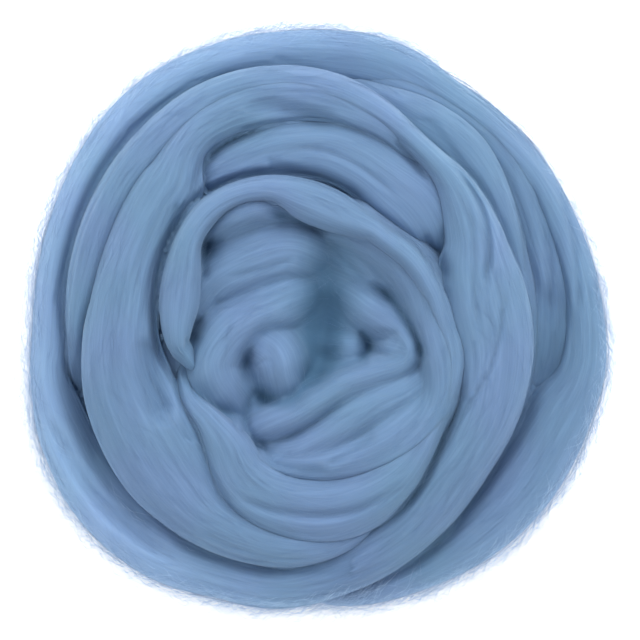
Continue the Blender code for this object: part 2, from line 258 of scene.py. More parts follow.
LOOP_FOLD = (
    (6, 8.4, 46, 8),
    (10, 6, 52, 11),
    (14.5, 2.6, 57, 12.5),
    (19.5, -0.5, 59, 12),
    (24.5, -4, 59.5, 9),
    (27.6, -8.5, 59.5, 6.8),
    (27.4, -12.5, 59, 6.8),
    (23.5, -15.4, 59, 9),
    (16, -17.6, 59.5, 10.5),
    (8, -20.2, 60, 11.5),
    (0, -24.4, 60, 12.5),
    (-7, -28.8, 59, 12),
    (-14, -32, 57.5, 10.5),
    (-19, -34.4, 54, 8),
    (-21.5, -37, 48, 5),
)
LOOP_INSIDE = (
    (20.4, -8.8, 55, 6.5),
    (23.6, -9.6, 58.2, 8.5),
    (26.6, -10.4, 58.6, 7.5),
)
DIM_FOLD = (
    (1, 22, 46, 8),
    (7, 19.5, 50.5, 11),
    (14, 16.5, 53, 14),
    (20.5, 12, 54, 13),
    (26, 5.5, 56, 9),
    (30, -1, 58, 8),
    (33, -9, 59, 7.5),
    (34.6, -17, 59, 7),
    (34, -25, 57, 7),
)
MIDDLE_LOCK = (
    (33, -18, 54, 8),
    (26, -23, 58, 11),
    (17, -27.2, 59.3, 12),
    (9, -31.8, 59.3, 12),
    (1, -37, 58, 11),
    (-7, -40.6, 55.5, 9.5),
    (-14, -41.4, 51, 8),
    (-19, -40.4, 45, 5),
)
LOWER_LOCK = (
    (34.5, -26, 58, 10),
    (28, -32.6, 60, 12.5),
    (20.5, -38, 60, 12),
    (12.5, -41.8, 59, 10),
    (4, -44, 58, 9),
    (-5, -45, 56.5, 8),
    (-13, -44.6, 54, 7),
)
RING_SIDE = (
    (2, 27.5, 52, 7),
    (10, 25.5, 58, 9),
    (18, 22, 61.5, 11.5),
    (25.2, 16, 63, 11.5),
    (30.2, 8.6, 63.6, 10.5),
    (33, 0.4, 63.8, 9.5),
    (35.4, -8, 63.6, 9),
    (37, -16, 63, 9.5),
    (37, -24, 62.2, 10.5),
    (33.8, -32, 61.4, 11.5),
    (27.6, -39, 60, 12),
    (18.8, -44.2, 58.4, 12),
    (8.4, -47.4, 56.8, 11),
    (-2, -48, 55.6, 10),
    (-11, -46.6, 54.6, 9),
    (-18, -44, 52, 6),
)
SHELF_FOLD = (
    (-36.5, 19, 50, 5),
    (-34.5, 23.6, 53, 7),
    (-30, 28, 60.5, 9.5),
    (-24, 31.4, 64, 10.5),
    (-18, 33, 63, 9),
    (-11, 31.8, 57, 7),
    (-5, 29.6, 53, 6),
)

# Columns: name, rows, thickness in millimetres, sides of a section, step along in millimetres.
ROUND_STRANDS = (
    ("long_turn", RISING_TURN + RIM_TURN, 22.0, 76, 1.5),
    ("sunken_lock", SUNKEN_LOCK, 18.0, 52, 1.5),
    ("slim_lock", SLIM_LOCK, 18.0, 48, 1.5),
    ("broad_turn", BROAD_TURN, 22.0, 80, 1.4),
    ("second_arch", SECOND_ARCH, 20.0, 68, 1.4),
    ("inner_ring", INNER_RING, 20.0, 72, 1.4),
)

# How far below the ring's crest its own fold in the middle lies, in millimetres.
UNDER_RING = 0.4


def under_ring(first, last):
    """Rows of a fold that lies just under the inner ring between two bearings."""
    rows = []
    for bearing, inner, outer, crest in INNER_RING:
        if first <= bearing <= last:
            turn, radius = math.radians(bearing), (inner + outer) / 2
            rows.append((radius * math.sin(turn), radius * math.cos(turn), crest - UNDER_RING, outer - inner))
    return tuple(rows)


RING_SIDE_UNDER = under_ring(382, 606)

# Columns: rows, thickness in millimetres.
FOLDS = (
    (UPPER_FOLD, 18.0),
    (LOWER_FOLD, 18.0),
    (KNOB_FOLD, 18.0),
    (SMALL_FOLD, 15.0),
    (LOOP_FOLD, 17.0),
    (LOOP_INSIDE, 14.0),
    (DIM_FOLD, 16.0),
    (RING_SIDE, 16.0),
    (MIDDLE_LOCK, 17.0),
    (LOWER_LOCK, 17.0),
    (SHELF_FOLD, 16.0),
    (RING_SIDE_UNDER, 20.0),
)
# The turn under the round turns, with the same columns as they have.
CARRYING = ("carrying_turn", CARRYING_TURN, 28.0, 40, 3.0)
COIL_SIDES = 40
COIL_STEP = 3.0 * MM

# Hollows between the folds, in millimetres. Columns: right, up, radius, depth.
HOLLOWS = (
    (-34.6, 20.8, 3.6, 3.0),
    (-12.4, 31.0, 3.0, 2.0),
    (2.0, 14.0, 6.0, 3.4),
    (1.4, 3.6, 6.4, 6.6),
    (0.8, -4.6, 6.2, 7.6),
    (0.6, -12.0, 4.8, 6.6),
    (-2.6, -18.0, 4.2, 5.2),
    (-7.4, -24.6, 3.4, 1.4),
    (-18.0, -24.4, 3.8, 2.8),
    (-36.0, -25.0, 4.6, 2.2),
    (-22.6, -13.0, 3.0, 2.0),
    (-19.6, -39.0, 2.4, 1.6),
    (-39.4, -7.0, 2.4, 2.0),
    (-29.0, -29.4, 3.6, 2.5),
    (14.8, -8.6, 2.6, 2.0),
    (20.8, 6.6, 2.4, 1.4),
    (30.8, -10.4, 2.0, 1.2),
)

# Splits between the locks of a strand. Columns: depth and half width in millimetres, then the split's
# run as bearings and radii.
SPLITS = (
    (1.0, 1.2, ((50, 57), (57, 55), (65, 51.6), (72, 49.8), (80, 48), (90, 47.8), (98, 48.6))),
    (3.0, 1.3, ((38, 63.2), (46, 61), (53, 60), (59, 58.7), (65, 56.8), (71, 54.6), (77, 51.9), (85, 49.6))),
    (1.4, 0.9, ((80, 57), (90, 55.6), (104, 54.6), (114, 53.5), (124, 53), (132, 54.2))),
    (1.2, 1.2, ((60, 83), (72, 81.5), (82, 80), (92, 79.5))),
    (1.5, 1.4, ((55, 77), (65, 75), (75, 72.8), (84, 71), (92, 70.5))),
    (1.6, 1.6, ((150, 56), (160, 58.4), (170, 60.3), (180, 60.9), (190, 61), (200, 60.8), (207, 60))),
    (1.2, 1.3, ((162, 66), (175, 67), (185, 67), (194, 66))),
    (1.0, 1.2, ((180, 73.8), (190, 75), (200, 75.5), (212, 75))),
    (4.6, 4.0, ((234, 56), (241, 56), (249, 54.4), (257, 52.8), (266, 51.4))),
    (2.6, 2.8, ((338, 67.6), (345, 66.6), (352, 64), (359, 61), (366, 60))),
    (1.2, 0.9, ((350, 53), (365, 50), (380, 46), (395, 43))),
    (2.6, 1.4, ((22, 59.2), (26, 57.6), (30, 55.8), (34, 54.4), (39, 53))),
    (3.8, 1.6, (
        (246, 48), (256, 49.8), (266, 50.6), (276, 51.2),
        (286, 51.6), (296, 51.8), (306, 52), (316, 52),
    )),
    (3.2, 1.5, ((308, 52.4), (315, 51.8), (322, 50.8), (330, 49), (338, 47.2), (346, 45.4))),
    (2.8, 1.8, ((336, 47.6), (344, 46), (352, 44), (360, 42.2), (368, 40.2), (378, 37.8), (388, 36.6))),
    (1.2, 1.3, ((378, 37.6), (390, 36.2), (402, 36.2), (416, 37.4), (426, 38.6))),
    (4.2, 2.2, ((410, 38.6), (417, 39.6), (423, 40.2), (429, 40), (436, 39.6))),
    (2.2, 1.4, ((312, 54), (318, 56.4), (323, 58.8), (330, 59.9), (338, 60), (346, 60))),
    (3.0, 1.5, (
        (112, 48), (120, 49.4), (128, 51), (136, 53.6),
        (142, 56.4), (148, 59.8), (156, 63.8), (164, 67),
    )),
    (2.4, 4.2, ((80, 70), (90, 70.4), (100, 71), (110, 71.4))),
    (2.6, 2.2, (
        (100, 70), (110, 70.2), (120, 70.4), (130, 71.2),
        (140, 74), (150, 78), (160, 81.8), (168, 84),
    )),
    (3.6, 4.8, ((212, 82.4), (223, 83.4), (233, 82.8), (242, 80.6), (252, 79.2), (262, 78.8))),
    (2.4, 2.2, ((208, 86), (217, 87.2), (227, 88), (236, 88.4), (245, 88.6), (254, 89))),
    (1.2, 2.4, ((66, 74.6), (76, 74), (86, 74.6), (96, 75.6))),
    (1.6, 2.2, ((186, 79), (196, 80), (206, 80.8), (216, 81.2))),
    (1.6, 2.0, ((256, 79), (270, 79.6), (285, 80), (300, 80.4), (316, 81), (330, 81))),
)

# Where a strand runs into its neighbour without a crease. Columns: half width in millimetres, then the
# place's run as bearings and radii.
SOFT_JOINS = (
    (5.0, ((-10, 78), (5, 77), (20, 77.6), (40, 78), (60, 77.4), (75, 76), (95, 75))),
    (6.0, ((262, 73), (280, 71), (300, 71), (318, 72), (332, 73), (346, 73))),
    (7.0, ((330, 73), (345, 73), (360, 70), (372, 66), (384, 61.5), (392, 58), (402, 54))),
    (6.0, ((388, 57), (396, 54.6), (404, 50.6), (412, 47), (418, 45))),
    (6.0, (
        (70, 31), (90, 34), (110, 41), (124, 46), (136, 49.4),
        (148, 50.6), (170, 51.2), (190, 50.4), (204, 47.4),
    )),
    (5.0, ((200, 47.6), (210, 43), (220, 41.2), (230, 41.4), (240, 41.8))),
    (5.0, ((300, 41), (309, 42), (319, 42), (330, 39.6), (338, 36.6))),
    (3.0, ((76, 40), (86, 40.8), (96, 43), (106, 46.4), (112, 48))),
    (4.0, ((146, 63), (160, 66), (170, 69), (180, 70), (190, 69.8), (200, 67), (212, 60))),
    (4.0, ((172, 84), (184, 84), (196, 83), (206, 82))),
)


# Creases between the folds in the middle. Columns: depth and half width in millimetres, then places right
# and up.
CREASES = (
    (0.7, 1.6, ((-34, 2.6), (-30, 4), (-26, 5.4), (-20, 7.6), (-14, 10.4), (-9, 12.4))),
    (0.9, 1.2, ((-30, 11.5), (-24, 13), (-17, 14.6), (-11, 16.6), (-6, 19))),
    (2.4, 1.6, ((-36.2, 10), (-35.8, 14), (-35.4, 18), (-34.6, 22), (-32.6, 25.4))),
    (1.4, 1.4, ((-33, 22), (-29, 25.2), (-22, 27.8), (-15, 29.4))),
    (2.6, 1.4, ((-18, 31.6), (-12, 31), (-8, 30), (-4, 28.4), (0, 26.6), (4, 24.6))),
    (3.0, 1.7, ((-41.4, -21), (-40.6, -16), (-39.6, -11), (-38.4, -6.6), (-37, -3), (-36, 1))),
    (1.8, 1.6, ((-6, -2.6), (-12, -3.4), (-17, -4.4), (-21.6, -8), (-23, -13), (-21.6, -18.6), (-18, -23))),
    (4.2, 1.9, ((-21, -20), (-18, -24.4), (-12, -26.4), (-7, -24), (-3.2, -20.4), (0.6, -18), (5, -15.8))),
    (3.6, 1.6, ((-4, -21), (0.6, -18), (5, -15.8), (9.6, -14.4), (13, -13.2), (15.6, -11.6))),
    (3.2, 1.3, ((-20, -22), (-21.8, -27), (-22.8, -32), (-22, -36), (-19.4, -39.6), (-15.6, -39))),
    (3.8, 1.3, (
        (13, 10.8), (17, 9.2), (20.4, 6.8), (24, 2.2),
        (27.6, -3.4), (30, -8), (31, -12.6), (31.4, -17),
    )),
    (1.6, 1.4, ((2, 24), (5, 20.6), (8, 17), (12, 12.6), (15, 10.6))),
    (0.8, 1.2, ((15, -4.6), (20, -4.8), (25, -5.6))),
    (3.6, 1.4, ((10.6, -3.6), (13.2, -5), (14.8, -7.4), (15, -10), (13.6, -12.4), (10.8, -13.8))),
    (1.6, 1.5, ((9, -24.6), (5, -27.4), (1, -30.4), (-3, -33.2), (-8, -36), (-13, -37))),
    (1.3, 1.2, ((18, -36), (14, -38.4), (10, -41), (5, -44), (1, -45.4))),
    (1.2, 2.0, ((-18, -43.6), (-12, -46), (-4, -47), (4, -47))),
    (0.8, 1.6, ((31.6, -14), (33, -19), (33.6, -24), (33, -29))),
    (1.4, 2.4, ((-22, -30), (-26, -30.6), (-31, -29.8), (-37, -26.4))),
)


class StrandSettings(bpy.types.PropertyGroup):
    """Sizes of the strand's section and of the relief that its fibres give it."""

    lock_depth: FloatProperty(
        name="Lock depth", description="Depth of the grooves between locks", default=0.7 * MM, unit="LENGTH"
    )
    lock_width: FloatProperty(
        name="Lock width", description="Usual width of one lock", default=6.0 * MM, unit="LENGTH"
    )
    thread_depth: FloatProperty(
        name="Thread depth", description="Depth of the finer grooves", default=0.13 * MM, unit="LENGTH"
    )
    thread_width: FloatProperty(
        name="Thread width", description="Usual width of one fine bundle", default=2.2 * MM, unit="LENGTH"
    )
    crease_depth: FloatProperty(
        name="Crease depth", description="How far a strand gives way beside another", default=1.0 * MM,
        unit="LENGTH",
    )
    crease_width: FloatProperty(
        name="Crease width", description="How near another strand makes it give way", default=2.6 * MM,
        unit="LENGTH",
    )
    section_power: FloatProperty(
        name="Section fullness", description="2 is an ellipse, more is a fuller section", default=2.3
    )
    seed: IntProperty(name="Seed", description="Seed of the relief", default=7)


class WoolColours(bpy.types.PropertyGroup):
    """Colours of the dyed wool, with the painted shade of its creases and the painted light of its rim
    fibres.
    """

    body: FloatVectorProperty(
        name="Wool", description="Colour of most of the wool", subtype="COLOR", default=(0.135, 0.226, 0.37)
    )
    light: FloatVectorProperty(
        name="Light fibres", description="Colour of the palest fibres", subtype="COLOR",
        default=(0.158, 0.26, 0.42),
    )
    # The rim fibres' two colours are painted much paler than the wool: painted light on the fringe.
    rim_fibre_painted_light: FloatVectorProperty(
        name="Rim fibres", description="Colour of the darkest fibres round the rim", subtype="COLOR",
        default=(0.3, 0.45, 0.66),
    )
    pale_rim_fibre_painted_light: FloatVectorProperty(
        name="Pale rim painted light", description="Colour of the palest fibres round the rim", subtype="COLOR",
        default=(0.5, 0.66, 0.86),
    )
    # The deep colour is painted shade: the wool is painted towards it in creases and splits.
    deep: FloatVectorProperty(
        name="Painted crease shade", description="Colour between the turns", subtype="COLOR",
        default=(0.064, 0.148, 0.258),
    )


class FibreSettings(bpy.types.PropertyGroup):
    """Sizes of the loose fibres."""

    radius: FloatProperty(
        name="Radius", description="Radius of one wisp of fibres", default=0.03 * MM, unit="LENGTH"
    )
    length: FloatProperty(
        name="Length", description="Usual length of a wisp", default=20.0 * MM, unit="LENGTH"
    )
    lift: FloatProperty(
        name="Lift", description="Most that a stray wisp stands off", default=5.0 * MM, unit="LENGTH"
    )
    density: FloatProperty(
        name="Density", description="Wisps of one coat on a square metre of the nest", default=90000.0
    )


def smooth_rows(rows, steps=12):
    """Rows read from one smooth curve that passes through all the rows."""
    rows = np.array(rows, float)
    before = np.vstack([2 * rows[0] - rows[1], rows, 2 * rows[-1] - rows[-2]])
    found = []
    for i in range(1, len(before) - 2):
        a, b, c, d = before[i - 1 : i + 3]
        for t in np.arange(steps) / steps:
            found.append(
                0.5 * (2 * b + (c - a) * t + (2 * a - 5 * b + 4 * c - d) * t**2)
                + 0.5 * (3 * b - a - 3 * c + d) * t**3
            )
    return np.array(found + [rows[-1]])


LEAST_HALF_WIDTH = 4.0 * MM
FOLD_PRESS = 0.8 * MM
# How far a strand's edge reaches under a higher strand beside it, the gap within which it does so, and
# the step in height over which it sets in.
TUCK = 4.5 * MM
TUCK_GAP = 5.0 * MM
TUCK_STEP = 4.0 * MM


def edge_rows(rows):
    """Bearing in degrees and inner edge, outer edge and crest in metres along a strand."""
    bearing, inner, outer, crest = smooth_rows(rows).T
    return bearing, inner * MM, outer * MM, crest * MM


def tuck_under(own, side):
    """How far one edge of a strand, inner (1) or outer (2), reaches under the higher strands beside it."""
    bearing, edge, crest = own[0], own[side], own[3]
    tuck = np.zeros(len(bearing))
    for _, rows, *_ in ROUND_STRANDS:
        other = edge_rows(rows)
        for turns in range(-2, 3):
            there = bearing + 360 * turns
            inside = (there >= other[0][0]) & (there <= other[0][-1])
            if turns == 0 and len(other[0]) == len(bearing) and np.allclose(other[0], bearing):
                continue
            inner, outer, height = (np.interp(there, other[0], values) for values in other[1:])
            if side == 1:
                gap, room = edge - outer, edge - inner
            else:
                gap, room = inner - edge, outer - edge
            reach = ease(np.clip(1 - gap / TUCK_GAP, 0, 1)) * np.clip(room / TUCK, 0, 1)
            above = ease(np.clip((height - crest) / TUCK_STEP * 0.5 + 0.5, 0, 1))
            tuck = np.maximum(tuck, np.where(inside, TUCK * reach * above, 0))
    spread = np.hanning(15) / np.hanning(15).sum()
    return np.convolve(np.pad(tuck, 7, "edge"), spread, "valid")


def round_route(rows, thickness):
    """Centre, half width and half thickness at each section of a strand that runs round the nest."""
    bearing, inner, outer, crest = own = edge_rows(rows)
    inner, outer = inner - tuck_under(own, 1), outer + tuck_under(own, 2)
    half_width = np.maximum((outer - inner) / 2, LEAST_HALF_WIDTH)
    radius = outer - half_width
    turn = np.radians(bearing)
    centre = np.stack([radius * np.sin(turn), radius * np.cos(turn), crest - thickness / 2], axis=1)
    return centre, half_width, np.full(len(centre), thickness / 2)


def folded_route(rows, thickness):
    """The same for a fold in the middle, whose table gives its centre line."""
    right, up, crest, width = (smooth_rows(rows) * MM).T
    centre = np.stack([right, up, crest - thickness / 2], axis=1)
    return centre, width / 2 + FOLD_PRESS, np.full(len(centre), thickness / 2)


# A strand's end is rounded off over this length, down to this share of its section.
END_LENGTH = 9.0 * MM
END_SIZE = 0.14


def evenly_spaced(centre, half_width, half_thickness, step):
    """The same strand with its sections a fixed step apart and its ends rounded off."""
    along = np.concatenate([[0], np.cumsum(np.linalg.norm(np.diff(centre, axis=0), axis=1))])
    stops = np.linspace(0, along[-1], max(6, int(along[-1] / step)))
    centre = np.stack([np.interp(stops, along, centre[:, i]) for i in range(3)], axis=1)
    half_width = np.interp(stops, along, half_width)
    half_thickness = np.interp(stops, along, half_thickness)
    to_end = np.minimum(stops, along[-1] - stops)
    left_over = 1 - np.clip(to_end / END_LENGTH, 0, 1)
    rounding = np.sqrt(np.clip(1 - left_over**2, END_SIZE**2, 1))
    return stops, centre, half_width * rounding, half_thickness * rounding


def ease(t):
    """A smooth step from 0 to 1."""
    return t * t * (3 - 2 * t)


def strand_noise(rng, around, along, cells_around, cells_along):
    """Smooth noise from -1 to 1 on a strand, without a seam round it. Both places run from 0 to 1."""
    cells_around, cells_along = max(2, int(cells_around)), max(2, int(cells_along))
    grid = rng.uniform(-1, 1, (cells_around, cells_along + 2))
    x = (around % 1.0) * cells_around
    y = np.clip(along, 0, 1) * cells_along
    i, j = np.floor(x).astype(int), np.floor(y).astype(int)
    s, t = ease(x - i), ease(y - j)
    a, b = grid[i % cells_around, j], grid[(i + 1) % cells_around, j]
    c, d = grid[i % cells_around, j + 1], grid[(i + 1) % cells_around, j + 1]
    return (a * (1 - s) + b * s) * (1 - t) + (c * (1 - s) + d * s) * t


def grooves(noise, width):
    """1 along the lines where the noise is 0, fading to 0 at the given value on both sides."""
    return np.exp(-((noise / width) ** 2))


def polar_path(run):
    """Points along a split, from its bearings and radii."""
    bearing, radius = smooth_rows(run, 8).T
    turn = np.radians(bearing)
    return np.stack([np.sin(turn) * radius, np.cos(turn) * radius], axis=1) * MM


def straight_path(run):
    """Points along a crease, from its places right and up."""
    return smooth_rows(run, 8) * MM


def split_depths(points):
    """How deep the splits cut at each of the points, in metres."""
    return cut_depths(points, [(depth, width, polar_path(run)) for depth, width, run in SPLITS])


def soft_share(points):
    """From 0 to 1, how far each of the points lies in a place where strands run together softly."""
    joins = [(1 / MM, width, polar_path(run)) for width, run in SOFT_JOINS]
    return np.clip(cut_depths(points, joins), 0, 1)


# A cut is left out past this many half widths, and fades over this share of its path at both ends.
CUT_REACH = 4
CUT_FADE = 0.25


def cut_depths(points, cuts):
    """How deep cuts go at each point. A cut is its depth and half width in millimetres and its path."""
    depths = np.zeros(len(points))
    for depth, half_width, path in cuts:
        reach = CUT_REACH * half_width * MM
        low, high = path.min(0) - reach, path.max(0) + reach
        near = np.flatnonzero(((points[:, :2] > low) & (points[:, :2] < high)).all(axis=1))
        if not len(near):
            continue
        gaps = np.linalg.norm(points[near, None, :2] - path[None], axis=2)
        nearest = gaps.argmin(axis=1)
        place = nearest / (len(path) - 1)
        fade = np.clip(np.minimum(place, 1 - place) / CUT_FADE, 0, 1)
        gap = gaps[np.arange(len(near)), nearest]
        depths[near] += depth * MM * ease(fade) * np.exp(-((gap / (half_width * MM)) ** 2))
    return depths


def sweep(route, sides, step, crowding):
    """Sections of a strand along its route. The points of a section crowd together towards its top."""
    stops, centre, half_width, half_thickness = evenly_spaced(*route, step)
    ahead = np.gradient(centre, axis=0)
    ahead /= np.linalg.norm(ahead, axis=1)[:, None]
    side = np.cross(ahead, (0, 0, 1))
    side /= np.linalg.norm(side, axis=1)[:, None]
    above = np.cross(side, ahead)
    place = np.arange(sides) / sides
    place = place + crowding / (2 * math.pi) * np.sin(2 * math.pi * place)
    turn = place * 2 * math.pi - math.pi / 2
    around = (place % 1.0)[None, :].repeat(len(stops), 0)
    along = (stops / stops[-1])[:, None].repeat(sides, 1)
    return stops, centre, (half_width, half_thickness), (ahead, side, above), turn, around, along


def section_points(centre, halves, axes, turn, power, wobble=1.0):
    """The rounded sections' points, before any relief."""
    half_width, half_thickness = halves
    _, side, above = axes
    across = np.sign(np.cos(turn)) * np.abs(np.cos(turn)) ** (2 / power)
    up = np.sign(np.sin(turn)) * np.abs(np.sin(turn)) ** (2 / power)
    return (
        centre[:, None]
        + (across[None] * wobble * half_width[:, None])[..., None] * side[:, None]
        + (up[None] * half_thickness[:, None])[..., None] * above[:, None]
    )


def tube_faces(count, sides):
    """Faces of a tube of rings, with a fan at each end round a point that follows the rings' points."""
    faces = []
    for i in range(count - 1):
        for j in range(sides):
            k = (j + 1) % sides
            faces.append((i * sides + j, (i + 1) * sides + j, (i + 1) * sides + k, i * sides + k))
    start, end = count * sides, count * sides + 1
    for j in range(sides):
        k = (j + 1) % sides
        faces.append((start, j, k))
        faces.append((end, (count - 1) * sides + k, (count - 1) * sides + j))
    return faces


def fibre_lie(points, stops):
    """Unit direction along the strand at each point, and how fast it turns."""
    lie = np.gradient(points, axis=0)
    lie /= np.linalg.norm(lie, axis=2)[..., None] + 1e-12
    return lie, np.gradient(lie, axis=0) / (stops[1] - stops[0])


# How much painted shade the wool takes in a crease between strands, and the depth of a split at which its
# painted shade is full.
CREASE_SHADE_SHARE = 0.28
SPLIT_FULL_SHADE = 15.0 * MM
# Sections of the runs that a strand's neighbours are found from: their step, how far they are felt, how
# many a run has, and how much of a strand beside a point counts as the strand itself.
FIELD_STEP = 2.0 * MM
FIELD_REACH = 4.0 * MM
FIELD_RUN = 24
OWN_STRETCH = 70 * MM


def strand_runs():
    """All strands cut in short runs. Each holds its strand's number, its place along it and its sections."""
    runs = []
    folds = [rows for rows, _ in FOLDS]
    ring_sides = [len(ROUND_STRANDS) + folds.index(rows) for rows in (RING_SIDE, RING_SIDE_UNDER)]
    for owner, route in enumerate(all_routes()):
        if owner in ring_sides:  # the ring runs into them without a crease
            continue
        stops, centre, halves, axes, *_ = sweep(route, 8, FIELD_STEP, 0.0)
        for first in range(0, len(stops), FIELD_RUN):
            part = slice(first, first + FIELD_RUN + 1)
            wide = max(halves[0][part].max(), halves[1][part].max()) + FIELD_REACH
            low, high = centre[part].min(0) - wide, centre[part].max(0) + wide
            sections = [values[part] for values in (centre, *halves, axes[1], axes[2])]
            runs.append((owner, stops[part], sections, low, high))
    return runs


def gap_to_others(points, owner, along, runs, power):
    """How far each point is from the nearest other strand, or other turn of its own. Inside is negative."""
    gap = np.full(len(points), FIELD_REACH)
    for run_owner, stops, (centre, half_width, half_thickness, side, above), low, high in runs:
        near = ((points > low) & (points < high)).all(axis=1)
        if run_owner == owner:
            near &= (along < stops[0] - OWN_STRETCH) | (along > stops[-1] + OWN_STRETCH)
        near = np.flatnonzero(near)
        if not len(near):
            continue
        away = points[near, None] - centre[None]
        station = (away**2).sum(axis=2).argmin(axis=1)
        away = away[np.arange(len(near)), station]
        x = np.abs((away * side[station]).sum(axis=1)) / half_width[station] + 1e-6
        y = np.abs((away * above[station]).sum(axis=1)) / half_thickness[station] + 1e-6
        size = (x**power + y**power) ** (1 / power)
        slope_x = (x / size) ** (power - 1) / half_width[station]
        slope_y = (y / size) ** (power - 1) / half_thickness[station]
        found = (size - 1) / np.hypot(slope_x, slope_y)
        np.minimum.at(gap, near, found)
    return gap


# Lengths of a lock, a thread and a swelling of the strand, on the turns and on the folds.
TURN_LENGTHS = (55 * MM, 24 * MM, 40 * MM)
FOLD_LENGTHS = (45 * MM, 22 * MM, 30 * MM)
SWELL_WIDTH = 9 * MM
# How far from 0 the noise still makes a groove between locks and between threads.
LOCK_NARROW = 0.3
THREAD_NARROW = 0.4


def combed_relief(rng, around, along, perimeter, length, lengths, settings):
    """Height of the locks and the finer grooves that the combed fibres give the wool."""
    widths = (settings.lock_width, settings.thread_width, SWELL_WIDTH)
    lock, thread, swell = (
        strand_noise(rng, around, along, perimeter / width, length / run)
        for width, run in zip(widths, lengths)
    )
    relief = 0.5 * settings.lock_depth * swell
    relief -= settings.lock_depth * grooves(lock, LOCK_NARROW) * (0.5 + 0.5 * swell)
    return relief - settings.thread_depth * grooves(thread, THREAD_NARROW)


# How uneven the strand's width is, how far its locks wander round it, and how much they twist, in turns.
WOBBLE = 0.03
WOBBLE_LENGTH = 30 * MM
DRIFT = 0.05
DRIFT_LENGTH = 60 * MM
TWIST_PER_METRE = 0.25
# A strand gives way by this share of the crease depth on average, unevenly over this length.
MEAN_GIVE = 0.65
GIVE_LENGTH = 45 * MM
# A strand this wide or wider on each side has the whole relief, and a thinner one at least this share.
FULL_RELIEF_WIDTH = 8 * MM
LEAST_RELIEF = 0.35
# Splits cut only where the strand faces up: from this much of it, over this much more.
UPWARD_FROM = 0.15
UPWARD_OVER = 0.5
TOP_CROWDING = 0.5


def swept_strand(route, sides, step, settings, seed, owner, runs):
    """Points, faces and strand coordinates of a strand swept along its route, with its relief."""
    stops, centre, halves, axes, turn, around, along = sweep(route, sides, step, TOP_CROWDING)
    rng = np.random.RandomState(seed)
    length = stops[-1]
    # The strand is never quite even in width.
    wobble = 1 + WOBBLE * strand_noise(rng, around, along, 2, length / WOBBLE_LENGTH)
    points = section_points(centre, halves, axes, turn, settings.section_power, wobble)
    d_around = np.roll(points, -1, 1) - np.roll(points, 1, 1)
    normal = np.cross(np.gradient(points, axis=0), d_around)
    normal /= np.linalg.norm(normal, axis=2)[..., None] + 1e-12
    perimeter = np.linalg.norm(np.roll(points, -1, 1) - points, axis=2).sum(1).max()
    drift = DRIFT * strand_noise(rng, 0 * around, along, 2, length / DRIFT_LENGTH)
    twist = around + drift + TWIST_PER_METRE * along * length
    relief = combed_relief(rng, twist, along, perimeter, length, TURN_LENGTHS, settings)
    body = np.clip(halves[0] / FULL_RELIEF_WIDTH, LEAST_RELIEF, 1)[:, None]
    gap = gap_to_others(
        points.reshape(-1, 3), owner, (along * length).reshape(-1), runs, settings.section_power
    ).reshape(around.shape)
    # How near another strand each point lies: there the strand gives way, and its wool is painted darker as
    # painted shade.
    press = 1 - ease(np.clip(gap / settings.crease_width, 0, 1))
    press *= 1 - soft_share(points.reshape(-1, 3)).reshape(press.shape)
    give = MEAN_GIVE + (1 - MEAN_GIVE) * strand_noise(rng, 0 * around, along, 2, length / GIVE_LENGTH)
    relief = relief * body - settings.crease_depth * press * give
    points += normal * relief[..., None]
    flat = points.reshape(-1, 3)
    facing_up = ease(np.clip((normal[..., 2] - UPWARD_FROM) / UPWARD_OVER, 0, 1)).reshape(-1)
    split = split_depths(flat)
    flat[:, 2] -= split * facing_up
    tips = np.stack([points[0].mean(0), points[-1].mean(0)])
    around = np.append(around.reshape(-1), [0.5, 0.5])
    along = np.append((along * length).reshape(-1), [0, length])
    # Painted shade: how far the wool is painted towards the deep colour in its creases and splits.
    press = np.clip(CREASE_SHADE_SHARE * (press * give).reshape(-1) + split / SPLIT_FULL_SHADE, 0, 1)
    press = np.append(press, [1, 1])
    return np.vstack([flat, tips]), tube_faces(len(stops), sides), around, along, perimeter, press


def add_attribute(mesh, name, kind, values, key):
    """Stores a value or a vector for each point of the mesh."""
    attribute = mesh.attributes.new(name, kind, "POINT")
    attribute.data.foreach_set(key, np.asarray(values, np.float32).ravel())


def finished_piece(obj):
    """Puts the piece in the scene, says what it rides on, and hides the imported part that it stands for."""
    if obj.name not in bpy.context.scene.collection.objects:
        bpy.context.scene.collection.objects.link(obj)
    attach(obj, BODY)
    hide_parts(NODE)
    return obj


def strand_object(name, owner, sides, step, settings, runs, material):
    """A strand as a mesh object whose UV runs round it and along it, in metres."""
    route = all_routes()[owner]
    seed = settings.seed + owner
    points, faces, around, along, perimeter, press = swept_strand(
        route, sides, step, settings, seed, owner, runs
    )
    mesh = bpy.data.meshes.new(name)
    mesh.from_pydata(points.tolist(), [], faces)
    add_attribute(mesh, "press", "FLOAT", press, "value")
    loops = np.zeros(len(mesh.loops), int)
    mesh.loops.foreach_get("vertex_index", loops)
    starts = np.zeros(len(mesh.polygons), int)
    mesh.polygons.foreach_get("loop_start", starts)
    totals = np.zeros(len(mesh.polygons), int)
    mesh.polygons.foreach_get("loop_total", totals)
    u, v = around[loops], along[loops]
    highest = np.repeat(np.maximum.reduceat(u, starts), totals)
    u = np.where((highest > 0.9) & (u < 0.1), u + 1, u)
    uv = mesh.uv_layers.new(name="strand")
    uv.data.foreach_set("uv", np.stack([u * perimeter, v], axis=1).astype(np.float32).ravel())
    mesh.materials.append(material)
    mesh.shade_smooth()
    return finished_piece(bpy.data.objects.new(name, mesh))


